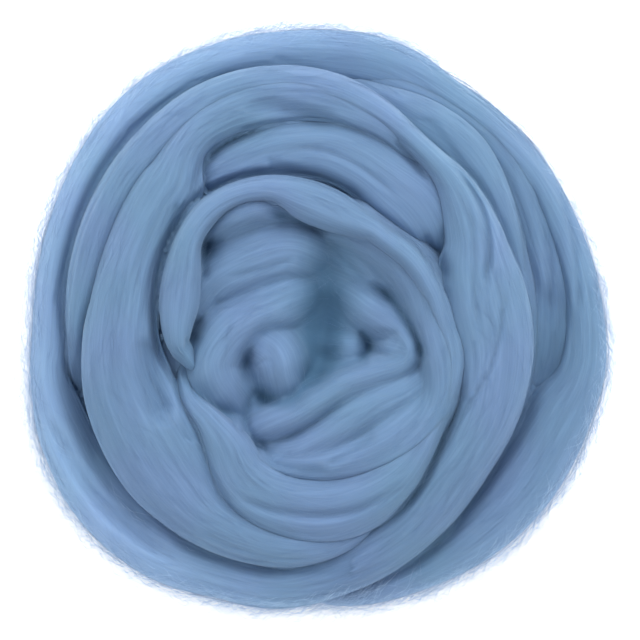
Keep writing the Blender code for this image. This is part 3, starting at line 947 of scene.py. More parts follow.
class NodeMaker:
    """Adds nodes to a tree and links them in one step."""

    def __init__(self, tree):
        self.tree = tree

    def add(self, kind, inputs=(), output=0, **settings):
        """One node with its settings and inputs. An input's value is a plain value or another socket."""
        node = self.tree.nodes.new(kind)
        for name, value in settings.items():
            setattr(node, name, value)
        for key, value in dict(inputs).items():
            if isinstance(value, bpy.types.NodeSocket):
                self.tree.links.new(value, node.inputs[key])
            else:
                node.inputs[key].default_value = value
        return node.outputs[output]

    def math(self, operation, a, b=0.0, c=0.0):
        return self.add("ShaderNodeMath", {0: a, 1: b, 2: c}, operation=operation)

    def vector(self, operation, a, b=(0, 0, 0)):
        return self.add("ShaderNodeVectorMath", {0: a, 1: b}, operation=operation)

    def scaled(self, vector, factor):
        return self.add("ShaderNodeVectorMath", {0: vector, "Scale": factor}, operation="SCALE")

    def stored(self, geometry, name, kind, value, domain="POINT"):
        inputs = {"Geometry": geometry, "Name": name, "Value": value}
        return self.add("GeometryNodeStoreNamedAttribute", inputs, data_type=kind, domain=domain)

    def named(self, name, kind):
        return self.add("GeometryNodeInputNamedAttribute", {"Name": name}, data_type=kind)

    def random(self, low, high, seed):
        inputs = {"Min_001": low, "Max_001": high, "Seed": seed}
        node = self.tree.nodes.new("FunctionNodeRandomValue")
        node.data_type = "FLOAT"
        for socket in node.inputs:
            if socket.identifier in inputs:
                value = inputs[socket.identifier]
                if isinstance(value, bpy.types.NodeSocket):
                    self.tree.links.new(value, socket)
                else:
                    socket.default_value = value
        return next(socket for socket in node.outputs if socket.type == "VALUE")


WOOL_SURFACE = {
    "Roughness": 0.9,
    "Specular IOR Level": 0.2,
    "Sheen Weight": 0.05,
    "Sheen Roughness": 0.45,
    "Sheen Tint": (0.75, 0.88, 1.0, 1.0),
    "Subsurface Weight": 0.6,
    "Subsurface Radius": (1.0, 1.0, 1.0),
    "Subsurface Scale": 3.0 * MM,
}
FIBRE_SURFACE = {"Roughness": 0.8, "Specular IOR Level": 0.3}
PAPER_SURFACE = {
    "Base Color": (0.92, 0.92, 0.92, 1),
    "Roughness": 0.9,
    "Emission Color": (1, 1, 1, 1),
    "Emission Strength": 0.5,
}


def new_material(name, surface):
    """A material, its shader with the surface's values, and a maker for its other nodes."""
    material = bpy.data.materials.new(name)
    material.use_nodes = True
    shader = material.node_tree.nodes["Principled BSDF"]
    for key, value in surface.items():
        shader.inputs[key].default_value = value
    return material, shader, NodeMaker(material.node_tree)


def colour_ramp(make, factor, stops):
    """The factor turned into a colour, by places on a ramp and their colours, lowest first."""
    ramp = make.tree.nodes.new("ShaderNodeValToRGB")
    make.tree.links.new(factor, ramp.inputs["Fac"])
    elements = ramp.color_ramp.elements
    elements[0].position, elements[1].position = stops[0][0], stops[-1][0]
    elements[0].color, elements[1].color = (*stops[0][1], 1), (*stops[-1][1], 1)
    for place, colour in stops[1:-1]:
        elements.new(place).color = (*colour, 1)
    return ramp.outputs["Color"]


# Streaks along the strand. Columns: width, length, detail.
BROAD_STREAKS = (4.0 * MM, 60.0 * MM, 3)
FINE_STREAKS = (0.8 * MM, 22.0 * MM, 4)
HAIR_STREAKS = (0.28 * MM, 12.0 * MM, 2)
# The fine streaks' share of the tone, and how much of the deep colour, a painted shade, the wool in creases
# takes.
FINE_SHARE = 0.55
CREASE_SHADE_STRENGTH = 0.85
# The mix node's sockets for colours.
MIX_FACTOR, MIX_FIRST, MIX_SECOND, MIX_RESULT = 0, 6, 7, 2


def wool_material(name, body, light, deep):
    """Matte dyed wool with streaks and fine relief along the strand, painted shade in its creases and painted
    light round the rim.
    """
    material, shader, make = new_material(name, WOOL_SURFACE)
    place = make.add("ShaderNodeUVMap", uv_map="strand")

    def streaks(width, length, detail):
        stretched = make.add("ShaderNodeMapping", {"Vector": place, "Scale": (1 / width, 1 / length, 1)})
        inputs = {"Vector": stretched, "Scale": 1.0, "Detail": detail, "Roughness": 0.6}
        return make.add("ShaderNodeTexNoise", inputs, noise_dimensions="2D")

    broad, fine, hair = streaks(*BROAD_STREAKS), streaks(*FINE_STREAKS), streaks(*HAIR_STREAKS)
    mixed = make.add("ShaderNodeMix", {"Factor": FINE_SHARE, "A": broad, "B": fine}, data_type="FLOAT")
    colour = colour_ramp(make, mixed, ((0.3, [c * 0.92 for c in body]), (0.5, body), (0.72, light)))
    # The wool is painted towards the deep colour where it lies in a crease or split: painted shade.
    crease_shade_amount = make.add("ShaderNodeAttribute", output="Fac", attribute_name="press")
    share = make.math("MULTIPLY", crease_shade_amount, CREASE_SHADE_STRENGTH)
    inputs = {MIX_FACTOR: share, MIX_FIRST: colour, MIX_SECOND: (*deep, 1)}
    shaded = make.add("ShaderNodeMix", inputs, MIX_RESULT, data_type="RGBA")
    make.tree.links.new(uneven_dye_and_rim_light(make, shaded), shader.inputs["Base Color"])
    fine_relief = make.add("ShaderNodeBump", {"Strength": 0.23, "Distance": 0.35 * MM, "Height": fine})
    inputs = {"Strength": 0.27, "Distance": 0.12 * MM, "Height": hair, "Normal": fine_relief}
    make.tree.links.new(make.add("ShaderNodeBump", inputs), shader.inputs["Normal"])
    return material


DYE_SCALE = 32.0
DYE_GREEN = (0.97, 1.02, 0.975)
DYE_VIOLET = (1.015, 0.985, 1.015)
# The rim is painted paler, as painted light, from the first of these radii to the second, measured from a
# little beside the middle.
RIM_LIGHT_FROM = 80 * MM
RIM_LIGHT_TO = 93 * MM
RIM_SHIFT = (-3.0 * MM, 1.0 * MM, 0.0)
RIM_PAINTED_LIGHT = (0.085, 0.12, 0.17)


def uneven_dye_and_rim_light(make, colour):
    """The colour, here a little greener and there a little more violet, and painted paler round the rim as
    painted light.
    """
    place = make.add("ShaderNodeTexCoord", output="Object")
    noise = make.add("ShaderNodeTexNoise", {"Vector": place, "Scale": DYE_SCALE, "Detail": 1.0})
    tint = colour_ramp(make, noise, ((0.35, DYE_GREEN), (0.65, DYE_VIOLET)))
    tinted = make.vector("MULTIPLY", colour, tint)
    inputs = {0: place, 1: (1, 1, 0), 2: RIM_SHIFT}
    away = make.add("ShaderNodeVectorMath", inputs, operation="MULTIPLY_ADD")
    radius = make.add("ShaderNodeVectorMath", {0: away}, "Value", operation="LENGTH")
    inputs = {"Value": radius, "From Min": RIM_LIGHT_FROM, "From Max": RIM_LIGHT_TO}
    share = make.add("ShaderNodeMapRange", inputs, interpolation_type="SMOOTHSTEP")
    return make.add("ShaderNodeVectorMath", {0: share, 1: RIM_PAINTED_LIGHT, 2: tinted}, operation="MULTIPLY_ADD")


def fibre_material(name, low, high):
    """The loose fibres, each of its own tone."""
    material, shader, make = new_material(name, FIBRE_SURFACE)
    tone = make.add("ShaderNodeAttribute", output="Fac", attribute_name="tone")
    make.tree.links.new(colour_ramp(make, tone, ((0, low), (1, high))), shader.inputs["Base Color"])
    return material


def wool(scene):
    """The combed wool's material, made once."""
    colours = scene.roving_colours
    found = bpy.data.materials.get("combed wool")
    return found or wool_material("combed wool", colours.body, colours.light, colours.deep)


class ROVING_OT_round_turns(bpy.types.Operator):
    """Builds the turns that run round the nest"""

    bl_idname = "roving.round_turns"
    bl_label = "Round turns"

    def execute(self, context):
        settings = context.scene.roving_strand
        runs = strand_runs()
        for i, (name, _, _, sides, step) in enumerate(ROUND_STRANDS):
            strand_object(name, i, sides, step * MM, settings, runs, wool(context.scene))
        return {"FINISHED"}


# The middle's surface: half its side, its cell, its underside, the floor between its folds, and how
# steeply its edge falls.
MIDDLE_REACH = 52.0 * MM
MIDDLE_CELL = 0.6 * MM
MIDDLE_UNDER = 30.0 * MM
MIDDLE_FLOOR = 49.0 * MM
MIDDLE_SKIRT = 1.2
# A fold: how softly it joins the next, how steeply it falls past its edge, and its drop there as a share
# of its thickness.
FOLD_BLEND = 1.5 * MM
FOLD_SLOPE = 3.0
FOLD_DROP = 0.34
CREASE_SHARE = 0.8
# The step in height between two folds over which the painted shade where they meet fades.
CREASE_REACH = 1.1 * MM
DEEPEST = 11.5 * MM
# Painted shade in the middle: the most of it, the depth of a hollow or crease at which it is full, and its
# share where two folds meet.
MIDDLE_SHADE_MOST = 0.92
HOLLOW_FULL_SHADE = 6 * MM
JOIN_SHADE = 0.15
# Shares of the middle's reach at which its edge starts to fall, the packed wool ends and fibres stop.
SKIRT_SHARE = 0.94
PACKED_SHARE = 0.93
FIBRE_SHARE = 0.95
FOLD_SEED = 40


def fold_field(places, rows, thickness):
    """Height of a fold over each place, and the place's offset across it, run along it and its lie."""
    right, up, crest, width = (smooth_rows(rows) * MM).T
    line = np.stack([right, up], axis=1)
    along = np.concatenate([[0], np.cumsum(np.linalg.norm(np.diff(line, axis=0), axis=1))])
    best = np.full(len(places), np.inf)
    height = np.full(len(places), -1.0)
    across, run = np.zeros(len(places)), np.zeros(len(places))
    lie = np.zeros((len(places), 2))
    for i in range(len(line) - 1):
        step = line[i + 1] - line[i]
        length = np.linalg.norm(step)
        share = np.clip(((places - line[i]) @ step) / length**2, 0, 1)
        away = places - line[i] - share[:, None] * step
        gap = np.linalg.norm(away, axis=1)
        half = (width[i] + (width[i + 1] - width[i]) * share) / 2
        top = crest[i] + (crest[i + 1] - crest[i]) * share
        x = gap / half
        dome = (1 - np.sqrt(1 - 0.9 * np.clip(x, 0, 1) ** 2)) / (1 - math.sqrt(0.1))
        z = top - FOLD_DROP * thickness * dome - FOLD_SLOPE * np.clip(gap - half, 0, None)
        nearer = z > height
        height[nearer] = z[nearer]
        side = np.sign(step[1] * away[:, 0] - step[0] * away[:, 1])
        closer = gap < best
        best[closer] = gap[closer]
        across[closer] = (gap * side)[closer]
        run[closer] = (along[i] + share * length)[closer]
        lie[closer] = step / length
    return height, across, run, lie, along[-1], width.max()


FOLD_GIRTH = 2.4  # of a fold's width


def fold_relief(rng, across, run, length, width, settings):
    """The grooves that the fibres give a fold."""
    perimeter = FOLD_GIRTH * width
    around = np.clip(across / perimeter + 0.5, 0, 1)
    return combed_relief(rng, around, run / length, perimeter, length, FOLD_LENGTHS, settings)


def hollow_depths(places):
    """How deep the hollows between the folds are at each place, in metres."""
    depths = np.zeros(len(places))
    for right, up, radius, depth in HOLLOWS:
        gap = np.linalg.norm(places - (right * MM, up * MM), axis=1)
        depths += depth * MM * np.exp(-((gap / (radius * MM)) ** 2))
    return depths


class ROVING_OT_middle_folds(bpy.types.Operator):
    """Builds the folds in the nest's hollow middle as one surface in which they blend together"""

    bl_idname = "roving.middle_folds"
    bl_label = "Middle folds"

    def execute(self, context):
        settings = context.scene.roving_strand
        count = int(2 * MIDDLE_REACH / MIDDLE_CELL) + 1
        side = np.linspace(-MIDDLE_REACH, MIDDLE_REACH, count)
        x, y = np.meshgrid(side, side)
        places = np.stack([x.ravel(), y.ravel()], axis=1)
        fields = [fold_field(places, rows, thickness * MM) for rows, thickness in FOLDS]
        heights = np.stack([field[0] for field in fields] + [np.full(len(places), MIDDLE_FLOOR)])
        highest = heights.max(axis=0)
        weights = np.exp((heights - highest) / FOLD_BLEND)
        total = weights.sum(axis=0)
        top = highest + FOLD_BLEND * np.log(total)
        lie = np.zeros((len(places), 2))
        for i, (_, across, run, along, length, width) in enumerate(fields):
            rng = np.random.RandomState(settings.seed + FOLD_SEED + i)
            share = weights[i] / total
            top += share * fold_relief(rng, across, run, length, width, settings)
            lie += share[:, None] * along
        # Painted shade where two folds meet and in the hollows and creases.
        ordered = np.sort(heights, axis=0)
        press = np.exp(-(ordered[-1] - ordered[-2]) / CREASE_REACH)
        hollow = hollow_depths(places)
        cuts = [(depth, width, straight_path(run)) for depth, width, run in CREASES]
        crease = CREASE_SHARE * cut_depths(places, cuts)
        top -= np.minimum(hollow + crease, DEEPEST)
        press = np.clip(JOIN_SHADE * press + (hollow + crease) / HOLLOW_FULL_SHADE, 0, MIDDLE_SHADE_MOST)
        out = np.linalg.norm(places, axis=1)
        top -= MIDDLE_SKIRT * np.clip(out - SKIRT_SHARE * MIDDLE_REACH, 0, None)
        self.build(context, places, top, count, fields, heights, press, lie)
        return {"FINISHED"}

    def build(self, context, places, top, count, fields, heights, press, lie):
        """The closed mesh: the surface, its walls and a flat underside."""
        number = np.arange(count * count).reshape(count, count)
        a, b, c, d = number[:-1, :-1], number[:-1, 1:], number[1:, 1:], number[1:, :-1]
        quads = np.stack([a.ravel(), b.ravel(), c.ravel(), d.ravel()], axis=1)
        edge = np.concatenate([number[0, :-1], number[:-1, -1], number[-1, :0:-1], number[:0:-1, 0]])
        low = count * count + np.arange(len(edge))
        walls = np.stack([edge, low, np.roll(low, -1), np.roll(edge, -1)], axis=1)
        points = np.hstack([places, top[:, None]])
        under = np.hstack([places[edge], np.full((len(edge), 1), MIDDLE_UNDER)])
        owner = heights[:-1, quads].mean(axis=2).argmax(axis=0)
        across = np.stack([field[1] for field in fields])
        run = np.stack([field[2] for field in fields])
        u = across[owner[:, None], quads] + 0.1 * owner[:, None]
        v = run[owner[:, None], quads]
        mesh = bpy.data.meshes.new("middle_folds")
        faces = quads.tolist() + walls.tolist() + [low[::-1].tolist()]
        mesh.from_pydata(np.vstack([points, under]).tolist(), [], faces)
        uv = mesh.uv_layers.new(name="strand")
        flat = np.stack([u, v], axis=2).reshape(-1, 2)
        rest = np.zeros((len(mesh.loops) - len(flat), 2))
        uv.data.foreach_set("uv", np.vstack([flat, rest]).astype(np.float32).ravel())
        ends = np.zeros(len(edge))
        lie = np.hstack([lie, np.zeros((len(lie), 1))])
        lie /= np.linalg.norm(lie, axis=1)[:, None] + 1e-9
        level = np.zeros((len(edge), 3))
        in_view = np.linalg.norm(places, axis=1) < MIDDLE_REACH * FIBRE_SHARE
        add_attribute(mesh, "press", "FLOAT", np.concatenate([press, ends]), "value")
        add_attribute(mesh, "crest", "FLOAT", np.concatenate([(1 - press) * in_view, ends]), "value")
        add_attribute(mesh, "bed", "FLOAT", np.zeros(len(places) + len(edge)), "value")
        add_attribute(mesh, "lie", "FLOAT_VECTOR", np.vstack([lie, level]), "vector")
        add_attribute(mesh, "bend", "FLOAT_VECTOR", np.zeros((len(places) + len(edge), 3)), "vector")
        mesh.materials.append(wool(context.scene))
        mesh.shade_smooth()
        finished_piece(bpy.data.objects.new("middle_folds", mesh))


# The lowest coil, in degrees and millimetres. It comes out from under its neighbour, runs level round the
# nest, and then winds in to the middle.
COIL_START = 120.0
COIL_RADIUS = 75.2
COIL_TUCK = 5.0
COIL_TUCK_TURN = 40.0
COIL_LEVEL_TURN = 310.0
COIL_TURN_STEP = 6.0
COIL_PITCH = 17.0
COIL_LAST_RADIUS = 8.0
COIL_HALF_WIDTH = 9.8
COIL_THICKNESS = 25.0
FOOT_CUT = 1.2


def coil_route():
    """The lowest coil, from the rim in to the middle."""
    closing = (COIL_RADIUS - COIL_LAST_RADIUS) / COIL_PITCH * 360
    run = np.arange(0, COIL_LEVEL_TURN + closing, COIL_TURN_STEP)
    radius = COIL_RADIUS - COIL_PITCH * np.clip(run - COIL_LEVEL_TURN, 0, None) / 360
    radius -= COIL_TUCK * np.clip(1 - run / COIL_TUCK_TURN, 0, 1)
    turn = np.radians(COIL_START + run)
    height = np.full(len(run), COIL_THICKNESS / 2 - FOOT_CUT)
    centre = np.stack([radius * np.sin(turn), radius * np.cos(turn), height], axis=1)
    half_width = np.full(len(run), COIL_HALF_WIDTH)
    return centre * MM, half_width * MM, np.full(len(run), COIL_THICKNESS / 2) * MM


class ROVING_OT_lower_coils(bpy.types.Operator):
    """Builds the turns that carry the nest, which show from the side and from below"""

    bl_idname = "roving.lower_coils"
    bl_label = "Lower coils"

    def execute(self, context):
        scene = context.scene
        settings = scene.roving_strand
        runs = strand_runs()
        owner = len(ROUND_STRANDS) + len(FOLDS)
        name, _, _, sides, step = CARRYING
        strand_object(name, owner, sides, step * MM, settings, runs, wool(scene))
        coil = strand_object("lower_coil", owner + 1, COIL_SIDES, COIL_STEP, settings, runs, wool(scene))
        for vertex in coil.data.vertices:
            vertex.co.z = max(vertex.co.z, 0.0)
        return {"FINISHED"}


# The lump under the turns, in millimetres. Columns: radius, top, underside.
HEART_PROFILE = (
    (13, 45, -2),
    (17, 46, 4),
    (32, 48, 4),
    (46, 47, 4),
    (60, 38, 4),
    (70, 28, 6),
    (76, 18, 9),
)
HEART_SIDES = 48
COARSE_SIDES = 28
COARSE_STEP = 2.5 * MM
PACKED_CELL = 1.2 * MM
PACKED_SOFTENING = 5
# How far the packed wool lies inside the strands, and what is added on crests and in valleys.
PACKED_INSET = 2.0 * MM
CREST_INSET = 0.8 * MM
VALLEY_INSET = 0.6 * MM
INSET_RISE = 1.0 * MM
INSET_SOFTENING = 4
CREST_SOFTENING = 24
CREST_RISE = 1.2 * MM
# How much of a crest a level place counts as, for the fibres and for the inset.
LEVEL_CREST = 0.55
LEVEL_INSET = 0.4
PACKED_SPLIT = 1.2
MIDDLE_TOP = 60.5 * MM
UNDER_FOLDS = 34 * MM


def all_routes():
    """The route of every strand."""
    routes = [round_route(rows, thick * MM) for _, rows, thick, _, _ in ROUND_STRANDS]
    routes += [folded_route(rows, thick * MM) for rows, thick in FOLDS]
    return routes + [round_route(CARRYING_TURN, CARRYING[2] * MM), coil_route()]


def heart_shape():
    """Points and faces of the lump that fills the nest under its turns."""
    profile = [(radius, top) for radius, top, _ in HEART_PROFILE]
    profile += [(radius, under) for radius, _, under in reversed(HEART_PROFILE)]
    turn = np.arange(HEART_SIDES) * 2 * math.pi / HEART_SIDES
    rings = [
        np.stack([radius * np.sin(turn), radius * np.cos(turn), np.full(HEART_SIDES, height)], axis=1)
        for radius, height in profile
    ]
    faces = []
    for i in range(len(rings) - 1):
        for j in range(HEART_SIDES):
            k = (j + 1) % HEART_SIDES
            faces.append(
                (
                    i * HEART_SIDES + j,
                    i * HEART_SIDES + k,
                    (i + 1) * HEART_SIDES + k,
                    (i + 1) * HEART_SIDES + j,
                )
            )
    last = (len(rings) - 1) * HEART_SIDES
    faces.append(tuple(range(HEART_SIDES))[::-1])
    faces.append(tuple(range(last, last + HEART_SIDES)))
    return np.vstack(rings) * MM, faces


def coarse_strands(power):
    """All strands as plain tubes: points, faces, and for each point its strand coordinates and lie."""
    points, faces, places = [], [], []
    first = 0
    for route in all_routes():
        stops, centre, halves, axes, turn, around, along = sweep(route, COARSE_SIDES, COARSE_STEP, 0.0)
        rings = section_points(centre, halves, axes, turn, power)
        lie, bend = fibre_lie(rings, stops)
        perimeter = np.linalg.norm(np.roll(rings, -1, 1) - rings, axis=2).sum(1).max()
        flat = rings.reshape(-1, 3)
        tips = np.stack([rings[0].mean(0), rings[-1].mean(0)])
        points.append(np.vstack([flat, tips]))
        faces += [tuple(first + i for i in face) for face in tube_faces(len(stops), COARSE_SIDES)]
        ends = np.array([0, len(flat) - 1])
        strand_uv = np.stack([around.reshape(-1) * perimeter, (along * stops[-1]).reshape(-1)], axis=1)
        place = np.hstack([strand_uv, lie.reshape(-1, 3), bend.reshape(-1, 3)])
        places.append(np.vstack([place, place[ends]]))
        first += len(flat) + 2
    return np.vstack(points), faces, np.vstack(places)


def remeshed(points, faces, cell):
    """The outer surface of all the shapes as even quads."""
    mesh = bpy.data.meshes.new("strands")
    mesh.from_pydata(points.tolist(), [], faces)
    helper = bpy.data.objects.new("strands", mesh)
    bpy.context.scene.collection.objects.link(helper)
    skin = helper.modifiers.new("skin", "REMESH")
    skin.mode = "VOXEL"
    skin.voxel_size = cell
    bpy.context.view_layer.update()
    graph = bpy.context.evaluated_depsgraph_get()
    made = bpy.data.meshes.new_from_object(helper.evaluated_get(graph))
    bpy.data.objects.remove(helper)
    bpy.data.meshes.remove(mesh)
    return made


def mesh_arrays(mesh):
    """The mesh's points, edges and quads."""
    points = np.zeros(len(mesh.vertices) * 3)
    mesh.vertices.foreach_get("co", points)
    edges = np.zeros(len(mesh.edges) * 2, int)
    mesh.edges.foreach_get("vertices", edges)
    quads = np.zeros(len(mesh.loops), int)
    mesh.loops.foreach_get("vertex_index", quads)
    return points.reshape(-1, 3), edges.reshape(-1, 2), quads.reshape(-1, 4)


def outer_shell(points, edges, quads):
    """Keeps only the largest connected surface."""
    label = np.arange(len(points))
    while True:
        lowest = np.minimum(label[edges[:, 0]], label[edges[:, 1]])
        before = label.copy()
        np.minimum.at(label, edges[:, 0], lowest)
        np.minimum.at(label, edges[:, 1], lowest)
        label = label[label]
        if (label == before).all():
            break
    names, sizes = np.unique(label, return_counts=True)
    keep = label == names[sizes.argmax()]
    index = np.cumsum(keep) - 1
    return points[keep], index[edges[keep[edges[:, 0]]]], index[quads[keep[quads[:, 0]]]]


def softened(points, edges, rounds):
    """Each point moves half way to the middle of its neighbours, a few times."""
    count = np.bincount(edges.ravel(), minlength=len(points))[:, None]
    for _ in range(rounds):
        total = np.zeros_like(points)
        np.add.at(total, edges[:, 0], points[edges[:, 1]])
        np.add.at(total, edges[:, 1], points[edges[:, 0]])
        points = 0.5 * points + 0.5 * total / count
    return points


def point_normals(points, quads):
    """Outward unit normals of the points."""
    a, b, c, d = (points[quads[:, i]] for i in range(4))
    face = np.cross(c - a, d - b)
    normal = np.zeros_like(points)
    for i in range(4):
        np.add.at(normal, quads[:, i], face)
    return normal / (np.linalg.norm(normal, axis=1)[:, None] + 1e-15)


def nearest_places(points, strand_points, places):
    """For each point the number of the nearest point on a strand, and that point's strand coordinates."""
    tree = KDTree(len(strand_points))
    for i, point in enumerate(strand_points):
        tree.insert(point, i)
    tree.balance()
    nearest = np.array([tree.find(point)[1] for point in points])
    return nearest, places[nearest]


def packed_skin(strand_points, faces):
    """Points, edges and quads of one even skin round the strands and the lump under them."""
    heart_points, heart_faces = heart_shape()
    first = len(strand_points)
    faces = faces + [tuple(first + i for i in face) for face in heart_faces]
    made = remeshed(np.vstack([strand_points, heart_points]), faces, PACKED_CELL)
    points, edges, quads = outer_shell(*mesh_arrays(made))
    bpy.data.meshes.remove(made)
    return softened(points, edges, PACKED_SOFTENING), edges, quads


def strand_places(points, quads, strand_points, places):
    """Strand coordinates at each quad's corners, and the lie and bend of the wool at each point."""
    nearest, place = nearest_places(points[quads].mean(axis=1), strand_points, places)
    lie = place[:, 2:5]
    across = np.cross(point_normals(points, quads)[quads[:, 0]], lie)
    across /= np.linalg.norm(across, axis=1)[:, None] + 1e-12
    offset = points[quads] - strand_points[nearest][:, None]
    u = place[:, 0, None] + (offset * across[:, None]).sum(axis=2)
    v = place[:, 1, None] + (offset * lie[:, None]).sum(axis=2)
    lie_at, bend_at, share = (np.zeros_like(points), np.zeros_like(points), np.zeros(len(points)))
    for i in range(4):
        np.add.at(lie_at, quads[:, i], lie)
        np.add.at(bend_at, quads[:, i], place[:, 5:8])
        np.add.at(share, quads[:, i], 1)
    lie_at /= np.linalg.norm(lie_at, axis=1)[:, None] + 1e-12
    return np.stack([u, v], axis=2), lie_at, bend_at / share[:, None]


# Where the rim has hair, in millimetres: from which radius, over what width it sets in, the height from
# which it thickens and over what height, and the share of it that the lowest coil has.
RIM_EDGE = 79.5
RIM_FADE = 5.0
HAIR_HEIGHT = 14
HAIR_FADE = 16
LOW_HAIR = 0.3
# How far outward the wool has to face for hair, and the further turn that brings all of it.
OUTWARD_FROM = 0.5
OUTWARD_OVER = 0.3


def rim_hair(points, quads):
    """From 0 to 1, how much hair stands off each point of the rim."""
    radius = np.linalg.norm(points[:, :2], axis=1)
    outward = (point_normals(points, quads)[:, :2] * points[:, :2]).sum(axis=1) / (radius + 1e-9)
    hair = np.clip((outward - OUTWARD_FROM) / OUTWARD_OVER, 0, 1)
    hair = hair * ease(np.clip((radius / MM - RIM_EDGE) / RIM_FADE, 0, 1))
    height = np.clip((points[:, 2] / MM - HAIR_HEIGHT) / HAIR_FADE, 0, 1)
    return hair * (LOW_HAIR + (1 - LOW_HAIR) * ease(height))


class ROVING_OT_packed_wool(bpy.types.Operator):
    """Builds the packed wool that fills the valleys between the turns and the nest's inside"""

    bl_idname = "roving.packed_wool"
    bl_label = "Packed wool"

    def execute(self, context):
        scene = context.scene
        strand_points, faces, places = coarse_strands(scene.roving_strand.section_power)
        points, edges, quads = packed_skin(strand_points, faces)
        normal = point_normals(points, quads)
        rise = ((points - softened(points, edges, CREST_SOFTENING)) * normal).sum(axis=1)
        crest = np.clip(LEVEL_CREST + rise / CREST_RISE, 0, 1)
        bed = PACKED_INSET + CREST_INSET * ease(np.clip(LEVEL_INSET + rise / INSET_RISE, 0, 1))
        bed += VALLEY_INSET * ease(np.clip(-rise / INSET_RISE, 0, 1))
        points = softened(points - normal * bed[:, None], edges, INSET_SOFTENING)
        near = np.linalg.norm(points[:, :2], axis=1) < MIDDLE_REACH * PACKED_SHARE
        middle = near & (points[:, 2] < MIDDLE_TOP)
        points[middle, 2] = np.minimum(points[middle, 2], UNDER_FOLDS)
        crest[middle] = 0
        split = split_depths(points)
        points[:, 2] -= PACKED_SPLIT * split
        points[:, 2] = np.maximum(points[:, 2], 0.0)
        # Painted shade: the packed wool is painted darker in its valleys and splits.
        press = np.clip(CREASE_SHADE_SHARE * np.clip(-rise / CREST_RISE, 0, 1) + split / SPLIT_FULL_SHADE, 0, 1)
        strand_uv, lie, bend = strand_places(points, quads, strand_points, places)
        mesh = bpy.data.meshes.new("packed_wool")
        mesh.from_pydata(points.tolist(), [], quads.tolist())
        uv = mesh.uv_layers.new(name="strand")
        uv.data.foreach_set("uv", strand_uv.astype(np.float32).ravel())
        add_attribute(mesh, "crest", "FLOAT", crest, "value")
        add_attribute(mesh, "bed", "FLOAT", bed, "value")
        add_attribute(mesh, "press", "FLOAT", press, "value")
        add_attribute(mesh, "halo", "FLOAT", rim_hair(points, quads), "value")
        add_attribute(mesh, "lie", "FLOAT_VECTOR", lie, "vector")
        add_attribute(mesh, "bend", "FLOAT_VECTOR", bend, "vector")
        mesh.materials.append(wool(scene))
        mesh.shade_smooth()
        finished_piece(bpy.data.objects.new("packed_wool", mesh))
        return {"FINISHED"}


FIBRE_INPUTS = (
    ("Density", "NodeSocketFloat"),
    ("Where", "NodeSocketString"),
    ("Length", "NodeSocketFloat"),
    ("Lift", "NodeSocketFloat"),
    ("Bunch", "NodeSocketFloat"),
    ("Radius", "NodeSocketFloat"),
    ("Points", "NodeSocketInt"),
    ("Seed", "NodeSocketInt"),
    ("Material", "NodeSocketMaterial"),
)
# How far the fibres' feet lie in the wool, how far every fibre rises, and the least height over the floor.
FIBRE_BED = -0.5 * MM
FIBRE_REST = 0.8 * MM
FIBRE_LEAST = 0.1 * MM
# How far some fibres stay up at their end, how much they swing aside, and the waves that they have.
FIBRE_CLOSE = -0.45
FIBRE_SWING = 6.0
FIBRE_CURL = 0.5 * MM
CURL_START = 6.28
CURL_TURNS = 4.0
FIBRE_SIDES = 3
# The fibre's thickness follows a sine from the second of these to the sum of both.
TAPER_RUN, TAPER_START = 2.6, 0.27


